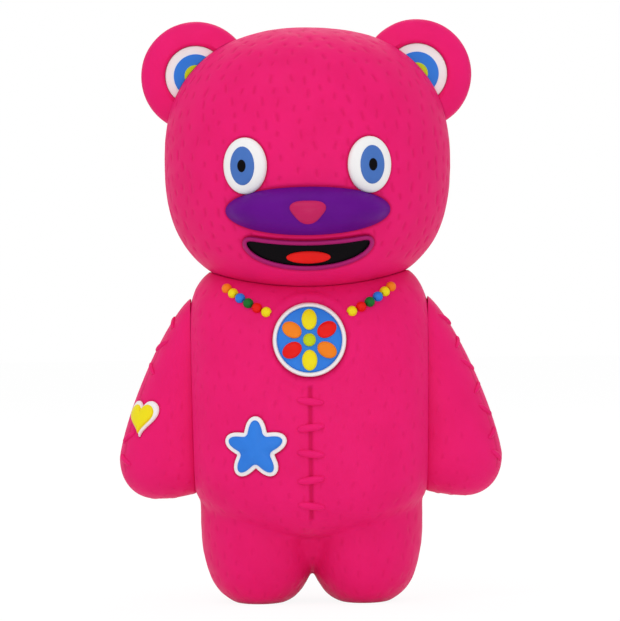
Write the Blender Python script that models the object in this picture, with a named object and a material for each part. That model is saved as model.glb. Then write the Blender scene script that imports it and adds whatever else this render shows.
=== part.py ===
"""A hollow vinyl bear figure: cast head, body and arms on swivel joints, with inlaid and moulded trim.

The figure faces -Y and stands on Z = 0. Its own left is +X. Sizes are in metres.
"""

import math
from dataclasses import dataclass, replace

import bmesh
import bpy
from mathutils import Matrix, Vector

MM = 0.001

# Walls and gaps
WALL = 2.6 * MM
SEAT_GAP = 0.3 * MM
TURN_GAP = 0.4 * MM

# Head: the equator is its widest level, and the roundness values are superellipse powers
HEAD_WIDTH = 97.8 * MM
HEAD_DEPTH = 86.0 * MM
HEAD_RISE = 45.2 * MM
HEAD_DROP = 45.6 * MM
CROWN_ROUNDNESS = 2.36
JAW_ROUNDNESS = 2.6
JAW_ROUND_FROM = 0.60
JAW_ROUND_TO = 0.93

# Body: a belly form on two leg forms
BODY_WIDTH = 84.8 * MM
BODY_DEPTH = 74.0 * MM
BELLY_LEVEL = 57.0 * MM
BELLY_RISE = 60.0 * MM
BELLY_DROP = 35.0 * MM
SHOULDER_ROUNDNESS = 5.5
CHEST_ROUNDNESS = 2.4
BELLY_ROUNDNESS = 2.8
PAUNCH_ROUNDNESS = 3.8
BODY_SQUARENESS = 3.2
LEG_WIDTH = 40.6 * MM
LEG_DEPTH = 49.0 * MM
LEG_OVERLAP = 5.0 * MM
LEG_LEVEL = 34.0 * MM
LEG_RISE = 20.0 * MM
LEG_ROUNDNESS = 2.8
LEG_DEPTH_ROUNDNESS = 4.0
LEG_FORWARD = 1.0 * MM
CROTCH_LEVEL = 10.6 * MM
HIP_WIDTH = 66.6 * MM
HIP_DEPTH = 39.0 * MM
HIP_LEVEL = 32.6 * MM
HIP_RISE = 18.0 * MM
HIP_ROUNDNESS = 2.5
SOLE_CUT = 1.2 * MM

# Neck joint: a tube with a rim on the body, snapped through a hole in the head
NECK_RADIUS = 13.0 * MM
NECK_RIM = 2.6 * MM
NECK_RIM_THICKNESS = 2.4 * MM
NECK_FACET_TURN = math.radians(5.0)
HEAD_SINK = 11.3 * MM

# Arms: a flat inner face turns on a flat of the body, about an axis square to it
ARM_SPLAY = math.radians(-1.0)
SHOULDER_LEVEL = 90.0 * MM
SHOULDER_CUT = 2.1 * MM
ARM_THICKNESS = 25.9 * MM
ARM_DEPTH = 33.0 * MM
ARM_TOP = 14.0 * MM
ARM_HAND = 40.0 * MM
ARM_PALM = 14.2 * MM
PALM_ROUNDNESS = 2.2
PALM_INNER_ROUNDNESS = 2.0
ARM_MIDDLE = 5.0 * MM
ARM_TAPER = 1.27
ARM_DEPTH_TAPER = 3.0
ARM_SOLID_TIP = 12.0 * MM
ARM_TIP_SINK = 0.6 * MM
SHOULDER_RADIUS = 6.5 * MM
SHOULDER_RIM = 2.2 * MM
SHOULDER_RIM_THICKNESS = 2.0 * MM

# Ears: round pads plugged into the head, each with three nested inlays in its front
EAR_RADIUS = 18.9 * MM
EAR_THICKNESS = 15.0 * MM
EAR_ROUNDNESS = 2.6
EAR_ANGLE = math.radians(37.466)
EAR_INSET = 2.14 * MM
EAR_BACK = 5.0 * MM
EAR_PEG_RADIUS = 3.6 * MM
EAR_PEG_BACK = 2.6 * MM
EAR_PEG_REACH = 5.0 * MM
EAR_DISC_RADIUS = 10.5 * MM
EAR_RING_RADIUS = 7.6 * MM
EAR_BUTTON_RADIUS = 3.8 * MM
EAR_DISH = 2.0 * MM
INLAY_STEP = 1.2 * MM

# Eyes: one dome each, cut into a white, an iris and a pupil
EYE_WIDTH = 15.6 * MM
EYE_HEIGHT = 19.0 * MM
EYE_PROUD = 2.8 * MM
EYE_SPACING = 42.0 * MM
EYE_UP = -2.4 * MM
EYE_ROUNDNESS = 3.0
IRIS_WIDTH = 8.8 * MM
IRIS_HEIGHT = 13.0 * MM
PUPIL_WIDTH = 3.2 * MM
PUPIL_HEIGHT = 4.4 * MM

# Muzzle, nose and mouth
MUZZLE_WIDTH = 57.4 * MM
MUZZLE_HEIGHT = 19.4 * MM
MUZZLE_PROUD = 6.0 * MM
MUZZLE_SINK = 20.0 * MM
MUZZLE_DOWN = 17.2 * MM
MUZZLE_ROUNDNESS = 3.0
NOSE_WIDTH = 11.6 * MM
NOSE_CORNERS = 0.12
NOSE_HEIGHT = 7.8 * MM
NOSE_UP = -0.6 * MM
NOSE_PROUD = 2.0 * MM
MOUTH_WIDTH = 42.0 * MM
MOUTH_HEIGHT = 8.8 * MM
MOUTH_DIP = 0.22
MOUTH_DOWN = 27.4 * MM
LIP_WIDTH = 1.6 * MM
LIP_PROUD = 1.5 * MM
MOUTH_PROUD = 0.9 * MM
TONGUE_WIDTH = 15.0 * MM
TONGUE_HEIGHT = 4.2 * MM
TONGUE_PROUD = 1.9 * MM

# Necklace and pendant on the chest
BEADS_PER_SIDE = 6
STRAND_HALF_WIDTH = 27.8 * MM
STRAND_END_LEVEL = 107.6 * MM
STRAND_SAG = 0.6 * MM
BEAD_CLEARANCE = 4.8 * MM
PENDANT_RADIUS = 12.4 * MM
PENDANT_PROUD = 1.7 * MM
PENDANT_LEVEL = 90.3 * MM
PENDANT_HANG_ANGLE = math.radians(33.0)
PENDANT_RIM_WIDTH = 1.5 * MM
PETAL_COUNT = 6
PETAL_LENGTH = 7.0 * MM
PETAL_WIDTH = 5.2 * MM
PETAL_THICKNESS = 1.0 * MM
FLOWER_EYE_RADIUS = 2.2 * MM

# Patches: a star on the belly and a heart on the right arm, each on a white backing
PATCH_BACKING = 1.2 * MM
PATCH_THICKNESS = 1.0 * MM
PATCH_BORDER = 1.3 * MM
PATCH_SINK = 12.0 * MM
PATCH_REACH = 30.0 * MM
MITRE_LIMIT = 0.35
STAR_RADIUS = 9.6 * MM
STAR_INSET = 0.56
STAR_SHARPNESS = 1.3
STAR_PLACE = (-18.5 * MM, 54.0 * MM)
HEART_RADIUS = 5.4 * MM
HEART_BELOW_SHOULDER = 26.0 * MM
HEART_TURN = math.radians(42.0)

# Mesh fineness
SHELL_SEGMENTS = 32
SHELL_RINGS = 16
CAVITY_SEGMENTS = 20
CAVITY_RINGS = 10
ARM_SEGMENTS = 20
ARM_RINGS = 14
PAD_SEGMENTS = 18
PAD_RINGS = 10
BEAD_SEGMENTS = 8
BEAD_RINGS = 6
ROUND_SEGMENTS = 20
SHARP_ANGLE = math.radians(35.0)
CUTTER_SIZE = 300.0 * MM

# Colours as linear RGB, with a roughness
FINISHES = {
    "pink_vinyl": ((0.80, 0.014, 0.150), 0.50),
    "white_vinyl": ((0.84, 0.82, 0.82), 0.40),
    "blue_vinyl": ((0.030, 0.205, 0.730), 0.42),
    "lime_vinyl": ((0.520, 0.640, 0.010), 0.42),
    "yellow_vinyl": ((0.850, 0.720, 0.010), 0.42),
    "orange_vinyl": ((0.880, 0.230, 0.012), 0.42),
    "red_vinyl": ((0.800, 0.010, 0.008), 0.42),
    "green_vinyl": ((0.010, 0.160, 0.025), 0.42),
    "purple_vinyl": ((0.125, 0.008, 0.290), 0.45),
    "rose_vinyl": ((0.680, 0.045, 0.230), 0.40),
    "magenta_vinyl": ((0.390, 0.012, 0.150), 0.45),
    "black_vinyl": ((0.008, 0.006, 0.008), 0.40),
}
BEAD_FINISHES = ("orange_vinyl", "yellow_vinyl", "blue_vinyl", "green_vinyl", "red_vinyl", "yellow_vinyl")
PETAL_FINISHES = ("yellow_vinyl", "orange_vinyl", "red_vinyl")


def clear_scene():
    """Removes every object that the file opened with."""
    for obj in list(bpy.data.objects):
        bpy.data.objects.remove(obj)


def make_materials():
    """One Principled BSDF material for each finish."""
    made = {}
    for name, (colour, roughness) in FINISHES.items():
        material = bpy.data.materials.new(name)
        material.use_nodes = True
        shader = material.node_tree.nodes["Principled BSDF"]
        shader.inputs["Base Color"].default_value = (*colour, 1.0)
        shader.inputs["Roughness"].default_value = roughness
        shader.inputs["Metallic"].default_value = 0.0
        made[name] = material
    return made


def object_from(bm, name):
    """Closes a bmesh into a new object at the figure's own origin."""
    bmesh.ops.recalc_face_normals(bm, faces=bm.faces)
    if bm.calc_volume(signed=True) < 0:
        bmesh.ops.reverse_faces(bm, faces=bm.faces)
    mesh = bpy.data.meshes.new(name)
    bm.to_mesh(mesh)
    bm.free()
    obj = bpy.data.objects.new(name, mesh)
    bpy.context.scene.collection.objects.link(obj)
    return obj


def combine(target, tool, operation):
    """Applies a Boolean of tool to target, and removes the tool."""
    modifier = target.modifiers.new(operation, "BOOLEAN")
    modifier.operation = operation
    modifier.object = tool
    modifier.solver = "EXACT"
    bpy.context.view_layer.update()
    graph = bpy.context.evaluated_depsgraph_get()
    mesh = bpy.data.meshes.new_from_object(target.evaluated_get(graph))
    target.modifiers.clear()
    target.data = mesh
    bpy.data.objects.remove(tool)
    return target


def cut(target, tool):
    """Cuts tool out of target."""
    return combine(target, tool, "DIFFERENCE")


def keep(target, tool):
    """Keeps what target and tool share."""
    return combine(target, tool, "INTERSECT")


def join(target, tool):
    """Fuses tool to target."""
    return combine(target, tool, "UNION")


def superellipse(share, power):
    """The half-width of a unit superellipse at this share of its height."""
    return max(0.0, 1.0 - min(1.0, abs(share)) ** power) ** (1.0 / power)


def smooth_step(t):
    """Runs from 0 to 1 with flat ends."""
    t = min(1.0, max(0.0, t))
    return t * t * (3.0 - 2.0 * t)


def unit_sphere(segments, rings):
    """A bmesh sphere of radius 1 with its poles on Z."""
    bm = bmesh.new()
    bmesh.ops.create_uvsphere(bm, u_segments=segments, v_segments=rings, radius=1.0)
    return bm


def facing(point, normal, up=Vector((0, 0, 1))):
    """A frame at point whose local Z is normal and whose local Y leans to up."""
    z_axis = Vector(normal).normalized()
    x_axis = up.cross(z_axis).normalized()
    y_axis = z_axis.cross(x_axis)
    turn = Matrix((x_axis, y_axis, z_axis)).transposed()
    return Matrix.Translation(point) @ turn.to_4x4()


def cylinder(frame, radius, low, high, segments=ROUND_SEGMENTS):
    """A closed cylinder along the frame's Z, from low to high."""
    bm = bmesh.new()
    bmesh.ops.create_cone(bm, cap_ends=True, segments=segments, radius1=radius, radius2=radius,
                          depth=high - low)
    bmesh.ops.transform(bm, matrix=frame @ Matrix.Translation((0, 0, (low + high) / 2)), verts=bm.verts)
    return object_from(bm, "cylinder")


def slab(frame):
    """A large block that fills the space beyond the frame's XY plane, on its +Z side."""
    bm = bmesh.new()
    bmesh.ops.create_cube(bm, size=CUTTER_SIZE)
    bmesh.ops.transform(bm, matrix=frame @ Matrix.Translation((0, 0, CUTTER_SIZE / 2)), verts=bm.verts)
    return object_from(bm, "slab")


def prism(frame, outline, low, high):
    """An outline of (x, y) points in the frame's plane, extruded along its Z from low to high."""
    bm = bmesh.new()
    ring = [bm.verts.new(frame @ Vector((x, y, low))) for x, y in outline]
    face = bm.faces.new(ring)
    run = bmesh.ops.extrude_face_region(bm, geom=[face])
    moved = [item for item in run["geom"] if isinstance(item, bmesh.types.BMVert)]
    step = frame.to_3x3() @ Vector((0, 0, high - low))
    bmesh.ops.translate(bm, vec=step, verts=moved)
    return object_from(bm, "prism")


@dataclass
class Ovoid:
    """A form with a superellipse profile above and below its equator.

    Its level sections are ellipses, or squarer ones that become ellipses towards its poles.
    """

    centre: Vector
    half_width: float
    half_depth: float
    rise: float
    drop: float
    width_above: float
    width_below: float
    depth_above: float
    depth_below: float
    round_base: bool = False
    squareness: float = 2.0

    def grown(self, by):
        """The same form, larger by this much on every side."""
        return replace(self, half_width=self.half_width + by, half_depth=self.half_depth + by,
                       rise=self.rise + by, drop=self.drop + by)

    def share(self, level):
        """A level above the equator as a share of the way to its pole."""
        return level / self.rise if level > 0 else level / self.drop

    def section_power(self, level):
        """The superellipse power of the section at a level."""
        return 2.0 + (self.squareness - 2.0) * (1.0 - abs(self.share(level)) ** 3)

    def section(self, level):
        """Half the width and half the depth at a level above the equator."""
        share = self.share(level)
        width = self.half_width * superellipse(share, self.width_above if level > 0 else self.width_below)
        depth = self.half_depth * superellipse(share, self.depth_above if level > 0 else self.depth_below)
        if self.round_base and level < 0:
            rounding = (-share - JAW_ROUND_FROM) / (JAW_ROUND_TO - JAW_ROUND_FROM)
            depth += (width - depth) * smooth_step(rounding)
        return width, depth

    def front(self, x, z):
        """The point of the front surface at this x and z."""
        level = z - self.centre.z
        width, depth = self.section(level)
        forward = depth * superellipse((x - self.centre.x) / width, self.section_power(level))
        return Vector((x, self.centre.y - forward, z))

    def front_frame(self, x, z):
        """A frame on the front surface, facing out."""
        step = 0.5 * MM
        across = self.front(x + step, z) - self.front(x - step, z)
        upward = self.front(x, z + step) - self.front(x, z - step)
        return facing(self.front(x, z), across.cross(upward))

    def base_level(self, radius):
        """The height of the underside at this distance from the axis."""
        return self.centre.z - self.drop * superellipse(radius / self.half_width, self.width_below)

    def solid(self, segments, rings):
        """The form as a closed mesh object."""
        bm = unit_sphere(segments, rings)
        for vert in bm.verts:
            level = vert.co.z * (self.rise if vert.co.z > 0 else self.drop)
            width, depth = self.section(level)
            around = Vector((vert.co.x, vert.co.y))
            around = around.normalized() if around.length > 1e-6 else around
            power = 2.0 / self.section_power(level)
            out_x = math.copysign(abs(around.x) ** power, around.x)
            out_y = math.copysign(abs(around.y) ** power, around.y)
            vert.co = self.centre + Vector((out_x * width, out_y * depth, level))
        return object_from(bm, "ovoid")


@dataclass
class Pillow:
    """A pad with an elliptical outline in its frame's XY plane, domed along Z on both sides."""

    frame: Matrix
    half_width: float
    half_height: float
    half_thickness: float
    roundness: float

    def grown(self, by):
        """The same pad, larger by this much on every side."""
        return replace(self, half_width=self.half_width + by, half_height=self.half_height + by,
                       half_thickness=self.half_thickness + by)

    def solid(self, segments=PAD_SEGMENTS, rings=PAD_RINGS):
        """The pad as a closed mesh object."""
        bm = unit_sphere(segments, rings)
        power = 2.0 / self.roundness
        for vert in bm.verts:
            flat = Vector((vert.co.x, vert.co.y))
            reach = flat.length ** power
            flat = flat.normalized() if flat.length > 1e-6 else flat
            height = math.copysign(abs(vert.co.z) ** power, vert.co.z)
            local = Vector((flat.x * reach * self.half_width, flat.y * reach * self.half_height,
                            height * self.half_thickness))
            vert.co = self.frame @ local
        return object_from(bm, "pillow")


@dataclass
class ArmForm:
    """An arm hanging from its shoulder, with its frame's Z out of the flat inner face and Y up the arm."""

    frame: Matrix
    thickness: float
    half_depth: float
    top: float
    hand: float
    palm: float
    inner: float = 0.0

    def grown(self, by):
        """The same arm, larger by this much all round."""
        return replace(self, thickness=self.thickness + by, half_depth=self.half_depth + by,
                       top=self.top + by, palm=self.palm + by, inner=self.inner - by)

    def section(self, level):
        """The outward middle, half-thickness and half-depth at a level above the hand's widest."""
        low = self.inner + ARM_MIDDLE
        if level > 0:
            share = level / (self.top + self.hand)
            outer = self.thickness * superellipse(share, ARM_TAPER)
            middle = low - (low + ARM_TIP_SINK) * smooth_step(level / self.hand)
            return middle, max(0.0, outer - middle), self.half_depth * superellipse(share, ARM_DEPTH_TAPER)
        centre = (self.thickness + self.inner) / 2
        round_off = superellipse(level / self.palm, PALM_ROUNDNESS)
        outer = centre + (self.thickness - centre) * round_off
        hidden = 2 * low - self.thickness
        inner = centre - (centre - hidden) * superellipse(level / self.palm, PALM_INNER_ROUNDNESS)
        return (outer + inner) / 2, (outer - inner) / 2, self.half_depth * round_off

    def solid(self, segments, rings):
        """The arm as a closed mesh object, cut flat on its inner face."""
        bm = unit_sphere(segments, rings)
        for vert in bm.verts:
            level = vert.co.z * (self.top + self.hand if vert.co.z > 0 else self.palm)
            middle, half_out, half_depth = self.section(level)
            around = Vector((vert.co.x, vert.co.y))
            around = around.normalized() if around.length > 1e-6 else around
            local = Vector((around.x * half_depth, level - self.hand, middle + around.y * half_out))
            vert.co = self.frame @ local
        arm = object_from(bm, "arm_form")
        inward = self.frame @ Matrix.Translation((0, 0, self.inner)) @ Matrix.Rotation(math.pi, 4, "X")
        return cut(arm, slab(inward))


def circle(radius, count=ROUND_SEGMENTS):
    """Points of a circle."""
    turn = 2 * math.pi / count
    return [(radius * math.cos(i * turn), radius * math.sin(i * turn)) for i in range(count)]


def ellipse(half_width, half_height, centre=(0.0, 0.0), tilt=0.0, count=14):
    """Points of an ellipse, tilted about its own centre."""
    points = []
    for i in range(count):
        turn = 2 * math.pi * i / count
        x, y = half_width * math.cos(turn), half_height * math.sin(turn)
        points.append((centre[0] + x * math.cos(tilt) - y * math.sin(tilt),
                       centre[1] + x * math.sin(tilt) + y * math.cos(tilt)))
    return points


def star(radius, count=40):
    """Points of a soft five-pointed star."""
    points = []
    for i in range(count):
        turn = 2 * math.pi * i / count
        wave = (0.5 + 0.5 * math.cos(5 * turn)) ** STAR_SHARPNESS
        reach = radius * (STAR_INSET + (1.0 - STAR_INSET) * wave)
        points.append((-reach * math.sin(turn), reach * math.cos(turn)))
    return points


def heart(radius, count=30):
    """Points of a heart about 2 radii wide."""
    points = []
    for i in range(count):
        turn = 2 * math.pi * i / count
        x = 16 * math.sin(turn) ** 3
        y = 13 * math.cos(turn) - 5 * math.cos(2 * turn) - 2 * math.cos(3 * turn) - math.cos(4 * turn)
        points.append((x / 16 * radius, (y + 2) / 16 * radius))
    return points[::-1]


def half_moon(width, height, count=12):
    """Points of a smile: a shallow upper curve over a deep lower one."""
    lower = [(-width / 2 * math.cos(math.pi * i / count), -height * math.sin(math.pi * i / count))
             for i in range(count + 1)]
    upper = []
    for i in range(1, count):
        across = 1.0 - 2.0 * i / count
        upper.append((width / 2 * across, -MOUTH_DIP * height * (1.0 - across * across)))
    return lower + upper


def spread(outline, by):
    """The outline moved outward by this much, or inward where it is negative, with mitred corners."""
    moved = []
    for before, here, after in zip(outline[-1:] + outline[:-1], outline, outline[1:] + outline[:1]):
        one = Vector((here[0] - before[0], here[1] - before[1])).normalized()
        two = Vector((after[0] - here[0], after[1] - here[1])).normalized()
        out = Vector((one.y + two.y, -one.x - two.x)).normalized()
        reach = by / max(MITRE_LIMIT, out.dot(Vector((one.y, -one.x))))
        moved.append((here[0] + out.x * reach, here[1] + out.y * reach))
    return moved


def nose_outline(width, height, count=24):
    """Points of a soft triangle that hangs from its flat side."""
    points = []
    for i in range(count):
        turn = 2 * math.pi * i / count
        reach = 0.5 / (1.0 - NOSE_CORNERS * math.cos(3 * turn + 3 * math.pi / 2))
        points.append((width * reach * math.cos(turn), height * reach * math.sin(turn)))
    return points


def pad_on(form, frame, outline, low, high, fineness):
    """A patch of an outline that follows a form's surface, from low to high above it."""
    patch = prism(frame, outline, -PATCH_SINK, PATCH_REACH)
    keep(patch, form.grown(high).solid(*fineness))
    return cut(patch, form.grown(low).solid(*fineness))


def head_form():
    """The head's outer form, with its base round in plan so that it can turn in the body's dish."""
    level = BELLY_LEVEL + BELLY_RISE - HEAD_SINK + HEAD_DROP
    return Ovoid(Vector((0, 0, level)), HEAD_WIDTH / 2, HEAD_DEPTH / 2, HEAD_RISE, HEAD_DROP,
                 CROWN_ROUNDNESS, JAW_ROUNDNESS, CROWN_ROUNDNESS, JAW_ROUNDNESS, round_base=True)


def belly_form():
    """The trunk's outer form."""
    return Ovoid(Vector((0, 0, BELLY_LEVEL)), BODY_WIDTH / 2, BODY_DEPTH / 2, BELLY_RISE, BELLY_DROP,
                 SHOULDER_ROUNDNESS, BELLY_ROUNDNESS, CHEST_ROUNDNESS, PAUNCH_ROUNDNESS,
                 squareness=BODY_SQUARENESS)


def leg_form(side):
    """One leg's outer form, which runs a little below the floor so that the sole is cut flat."""
    across = side * (LEG_WIDTH - LEG_OVERLAP) / 2
    return Ovoid(Vector((across, -LEG_FORWARD, LEG_LEVEL)), LEG_WIDTH / 2, LEG_DEPTH / 2, LEG_RISE,
                 LEG_LEVEL + SOLE_CUT, LEG_ROUNDNESS, LEG_ROUNDNESS, LEG_DEPTH_ROUNDNESS,
                 LEG_DEPTH_ROUNDNESS)


def hip_form():
    """The block between the legs, from the crotch up into the belly."""
    return Ovoid(Vector((0, 0, HIP_LEVEL)), HIP_WIDTH / 2, HIP_DEPTH / 2, HIP_RISE, HIP_LEVEL - CROTCH_LEVEL,
                 HIP_ROUNDNESS, HIP_ROUNDNESS, HIP_ROUNDNESS, HIP_ROUNDNESS)


def shoulder_frame(side, belly):
    """The arm's frame at the shoulder: Z out along the joint axis, Y up the arm's flat face."""
    half_width, _ = belly.section(SHOULDER_LEVEL - belly.centre.z)
    outward = Vector((side * math.cos(ARM_SPLAY), 0, math.sin(ARM_SPLAY)))
    pivot = Vector((side * (half_width - SHOULDER_CUT + TURN_GAP), 0, SHOULDER_LEVEL))
    return facing(pivot, outward)


def shifted(frame, out):
    """The frame moved along its own Z."""
    return frame @ Matrix.Translation((0, 0, out))


def flipped(frame):
    """The frame turned to look the other way."""
    return frame @ Matrix.Rotation(math.pi, 4, "X")


UPRIGHT = Matrix.Identity(4)
NECK_FRAME = Matrix.Rotation(NECK_FACET_TURN, 4, "Z")
BODY_MESH = (SHELL_SEGMENTS, SHELL_RINGS)
CAVITY_MESH = (CAVITY_SEGMENTS, CAVITY_RINGS)
ARM_MESH = (ARM_SEGMENTS, ARM_RINGS)
MUZZLE_MESH = (SHELL_SEGMENTS, PAD_RINGS + 4)


def make_body(head, belly, shoulders):
    """The hollow body: belly, hips and legs, flat where the arms turn, dished where the head sits."""
    legs = [leg_form(side) for side in (-1, 1)]
    hips = hip_form()
    body = join(belly.solid(*BODY_MESH), hips.solid(SHELL_SEGMENTS, CAVITY_RINGS))
    for leg in legs:
        join(body, leg.solid(CAVITY_SEGMENTS, SHELL_RINGS))
    cut(body, slab(flipped(UPRIGHT)))
    for frame in shoulders:
        cut(body, slab(shifted(frame, -TURN_GAP)))
    dish = replace(head, half_depth=head.half_width)
    cut(body, dish.grown(TURN_GAP).solid(*BODY_MESH))

    cavity = join(belly.grown(-WALL).solid(*CAVITY_MESH), hips.grown(-WALL).solid(*CAVITY_MESH))
    for leg in legs:
        join(cavity, replace(leg.grown(-WALL), drop=LEG_LEVEL - WALL).solid(CAVITY_SEGMENTS, CAVITY_RINGS))
    wall_inside = -TURN_GAP - WALL
    rim_end = wall_inside - SHOULDER_RIM_THICKNESS - 2 * TURN_GAP
    for frame in shoulders:
        join(cavity, cylinder(frame, SHOULDER_RADIUS + SHOULDER_RIM + TURN_GAP, rim_end, WALL))
        cut(cavity, slab(shifted(frame, wall_inside)))
    cut(cavity, dish.grown(TURN_GAP + WALL).solid(*CAVITY_MESH))
    cut(body, cavity)

    rim_radius = NECK_RADIUS + NECK_RIM
    rim_base = neck_landing(head) + TURN_GAP
    rim_top = rim_base + NECK_RIM_THICKNESS
    dish_floor = head.centre.z - head.drop - TURN_GAP
    join(body, cylinder(NECK_FRAME, NECK_RADIUS, dish_floor - WALL / 2, rim_top - NECK_RIM_THICKNESS / 2))
    join(body, cylinder(NECK_FRAME, rim_radius, rim_base, rim_top))
    cut(body, cylinder(NECK_FRAME, NECK_RADIUS - WALL, dish_floor - 3 * WALL, rim_top + WALL))
    for frame in shoulders:
        cut(body, cylinder(frame, SHOULDER_RADIUS + TURN_GAP, rim_end, WALL))
    return body


def neck_landing(head):
    """The level of the flat landing in the head that the neck's rim turns on."""
    return head.base_level(NECK_RADIUS + 2 * NECK_RIM) + WALL


def make_head(head, ear_frames):
    """The hollow head, open at the neck and at the ears' peg holes."""
    shell = head.solid(*BODY_MESH)
    cut(shell, head.grown(-WALL).solid(*CAVITY_MESH))
    landing = neck_landing(head)
    cut(shell, cylinder(NECK_FRAME, NECK_RADIUS + 2 * NECK_RIM, landing, landing + NECK_RIM_THICKNESS))
    base = head.centre.z - head.drop
    cut(shell, cylinder(NECK_FRAME, NECK_RADIUS + TURN_GAP, base - WALL, base + 3 * WALL))
    for frame in ear_frames:
        cut(shell, ear_peg(head, frame, SEAT_GAP))
    return shell


def ear_peg(head, frame, slack):
    """The peg that runs from inside an ear through the head's wall, fatter and longer by the slack."""
    to_head = head.centre - frame.translation
    to_head.y = 0
    start = frame.translation + Vector((0, EAR_PEG_BACK, 0))
    reach = to_head.length - head_reach(head, -to_head) + WALL + EAR_PEG_REACH
    return cylinder(facing(start, to_head, Vector((0, 1, 0))), EAR_PEG_RADIUS + slack, -EAR_RADIUS / 2,
                    reach + slack, segments=12)


def ear_frame(head, side):
    """An ear's frame, facing the front, with its middle a little inside the head's outline."""
    outward = Vector((side * math.cos(EAR_ANGLE), 0, math.sin(EAR_ANGLE)))
    place = head.centre + outward * (head_reach(head, outward) - EAR_INSET)
    return facing(place + Vector((0, EAR_BACK, 0)), (0, -1, 0))


def head_reach(head, direction):
    """How far the head's outline is from its centre, seen from the front, in this direction."""
    unit = direction.normalized()
    low, high = 0.0, head.half_width + head.rise
    for _ in range(40):
        middle = (low + high) / 2
        width, _ = head.section(unit.z * middle)
        inside = abs(unit.x * middle) < width and abs(unit.z * middle) < head.rise
        low, high = (middle, high) if inside else (low, middle)
    return low


def make_ear(head, frame):
    """An ear and its three nested inlays: disc, ring and button."""
    pad = Pillow(frame, EAR_RADIUS, EAR_RADIUS, EAR_THICKNESS / 2, EAR_ROUNDNESS)
    clear = head.grown(SEAT_GAP)
    top = EAR_THICKNESS / 2 - EAR_DISH
    ear = pad.solid(ROUND_SEGMENTS, SHELL_RINGS)
    cut(ear, clear.solid(*BODY_MESH))
    join(ear, ear_peg(head, frame, 0.0))
    floors = [top - 3 * INLAY_STEP, top - 2 * INLAY_STEP, top - INLAY_STEP]
    radii = [EAR_DISC_RADIUS, EAR_RING_RADIUS, EAR_BUTTON_RADIUS]
    cut(ear, cylinder(frame, radii[0], floors[0], EAR_THICKNESS))
    inlays = []
    for level, radius in enumerate(radii):
        piece = cylinder(frame, radius - SEAT_GAP, floors[level] + SEAT_GAP, top)
        if level < 2:
            cut(piece, cylinder(frame, radii[level + 1], floors[level + 1], EAR_THICKNESS))
        inlays.append(cut(piece, clear.solid(*BODY_MESH)))
    return ear, inlays


def make_eye(head, side):
    """An eye dome as three nested pieces: white, iris and pupil."""
    frame = head.front_frame(side * EYE_SPACING / 2, head.centre.z + EYE_UP)
    dome = Pillow(frame, EYE_WIDTH / 2, EYE_HEIGHT / 2, EYE_PROUD, EYE_ROUNDNESS)
    iris_floor = EYE_PROUD - 2 * INLAY_STEP
    pupil_floor = EYE_PROUD - INLAY_STEP
    beyond = 2 * EYE_PROUD
    white = cut(dome.solid(), head.grown(SEAT_GAP).solid(*BODY_MESH))
    iris_edge = ellipse(IRIS_WIDTH / 2, IRIS_HEIGHT / 2, count=ROUND_SEGMENTS)
    pupil_edge = ellipse(PUPIL_WIDTH / 2, PUPIL_HEIGHT / 2)
    cut(white, prism(frame, iris_edge, iris_floor, beyond))
    iris = keep(prism(frame, spread(iris_edge, -SEAT_GAP), iris_floor + SEAT_GAP, beyond), dome.solid())
    cut(iris, prism(frame, pupil_edge, pupil_floor, beyond))
    pupil = keep(prism(frame, spread(pupil_edge, -SEAT_GAP), pupil_floor + SEAT_GAP, beyond), dome.solid())
    return white, iris, pupil


def muzzle_form(head):
    """The muzzle's form, set square to the front with its middle inside the head."""
    place = head.front(0, head.centre.z - MUZZLE_DOWN) + Vector((0, MUZZLE_SINK, 0))
    return Pillow(facing(place, (0, -1, 0)), MUZZLE_WIDTH / 2, MUZZLE_HEIGHT / 2, MUZZLE_SINK + MUZZLE_PROUD,
                  MUZZLE_ROUNDNESS)


def make_muzzle(head, muzzle):
    """The muzzle and the nose on it."""
    pad = cut(muzzle.solid(*MUZZLE_MESH), head.grown(SEAT_GAP).solid(*BODY_MESH))
    frame = muzzle.frame @ Matrix.Translation((0, NOSE_UP, PATCH_SINK + MUZZLE_SINK / 2))
    nose = pad_on(muzzle, frame, nose_outline(NOSE_WIDTH, NOSE_HEIGHT), SEAT_GAP, NOSE_PROUD, MUZZLE_MESH)
    return pad, nose


def make_mouth(head, muzzle):
    """The lip, the dark mouth inside it and the tongue, clear of the muzzle above them."""
    frame = facing(head.front(0, head.centre.z - MOUTH_DOWN), (0, -1, 0))
    outline = half_moon(MOUTH_WIDTH, MOUTH_HEIGHT)
    lip = pad_on(head, frame, spread(outline, LIP_WIDTH), SEAT_GAP, LIP_PROUD, BODY_MESH)
    cut(lip, prism(frame, outline, -PATCH_SINK, PATCH_SINK))
    cut(lip, muzzle.grown(SEAT_GAP).solid(*MUZZLE_MESH))
    mouth = pad_on(head, frame, spread(outline, -SEAT_GAP), SEAT_GAP, MOUTH_PROUD, BODY_MESH)
    tongue_middle = (0, LIP_WIDTH / 2 - MOUTH_HEIGHT + TONGUE_HEIGHT / 2)
    tongue_outline = ellipse(TONGUE_WIDTH / 2, TONGUE_HEIGHT / 2, tongue_middle)
    tongue = pad_on(head, frame, tongue_outline, MOUTH_PROUD + SEAT_GAP, TONGUE_PROUD, BODY_MESH)
    return lip, mouth, tongue


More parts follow.
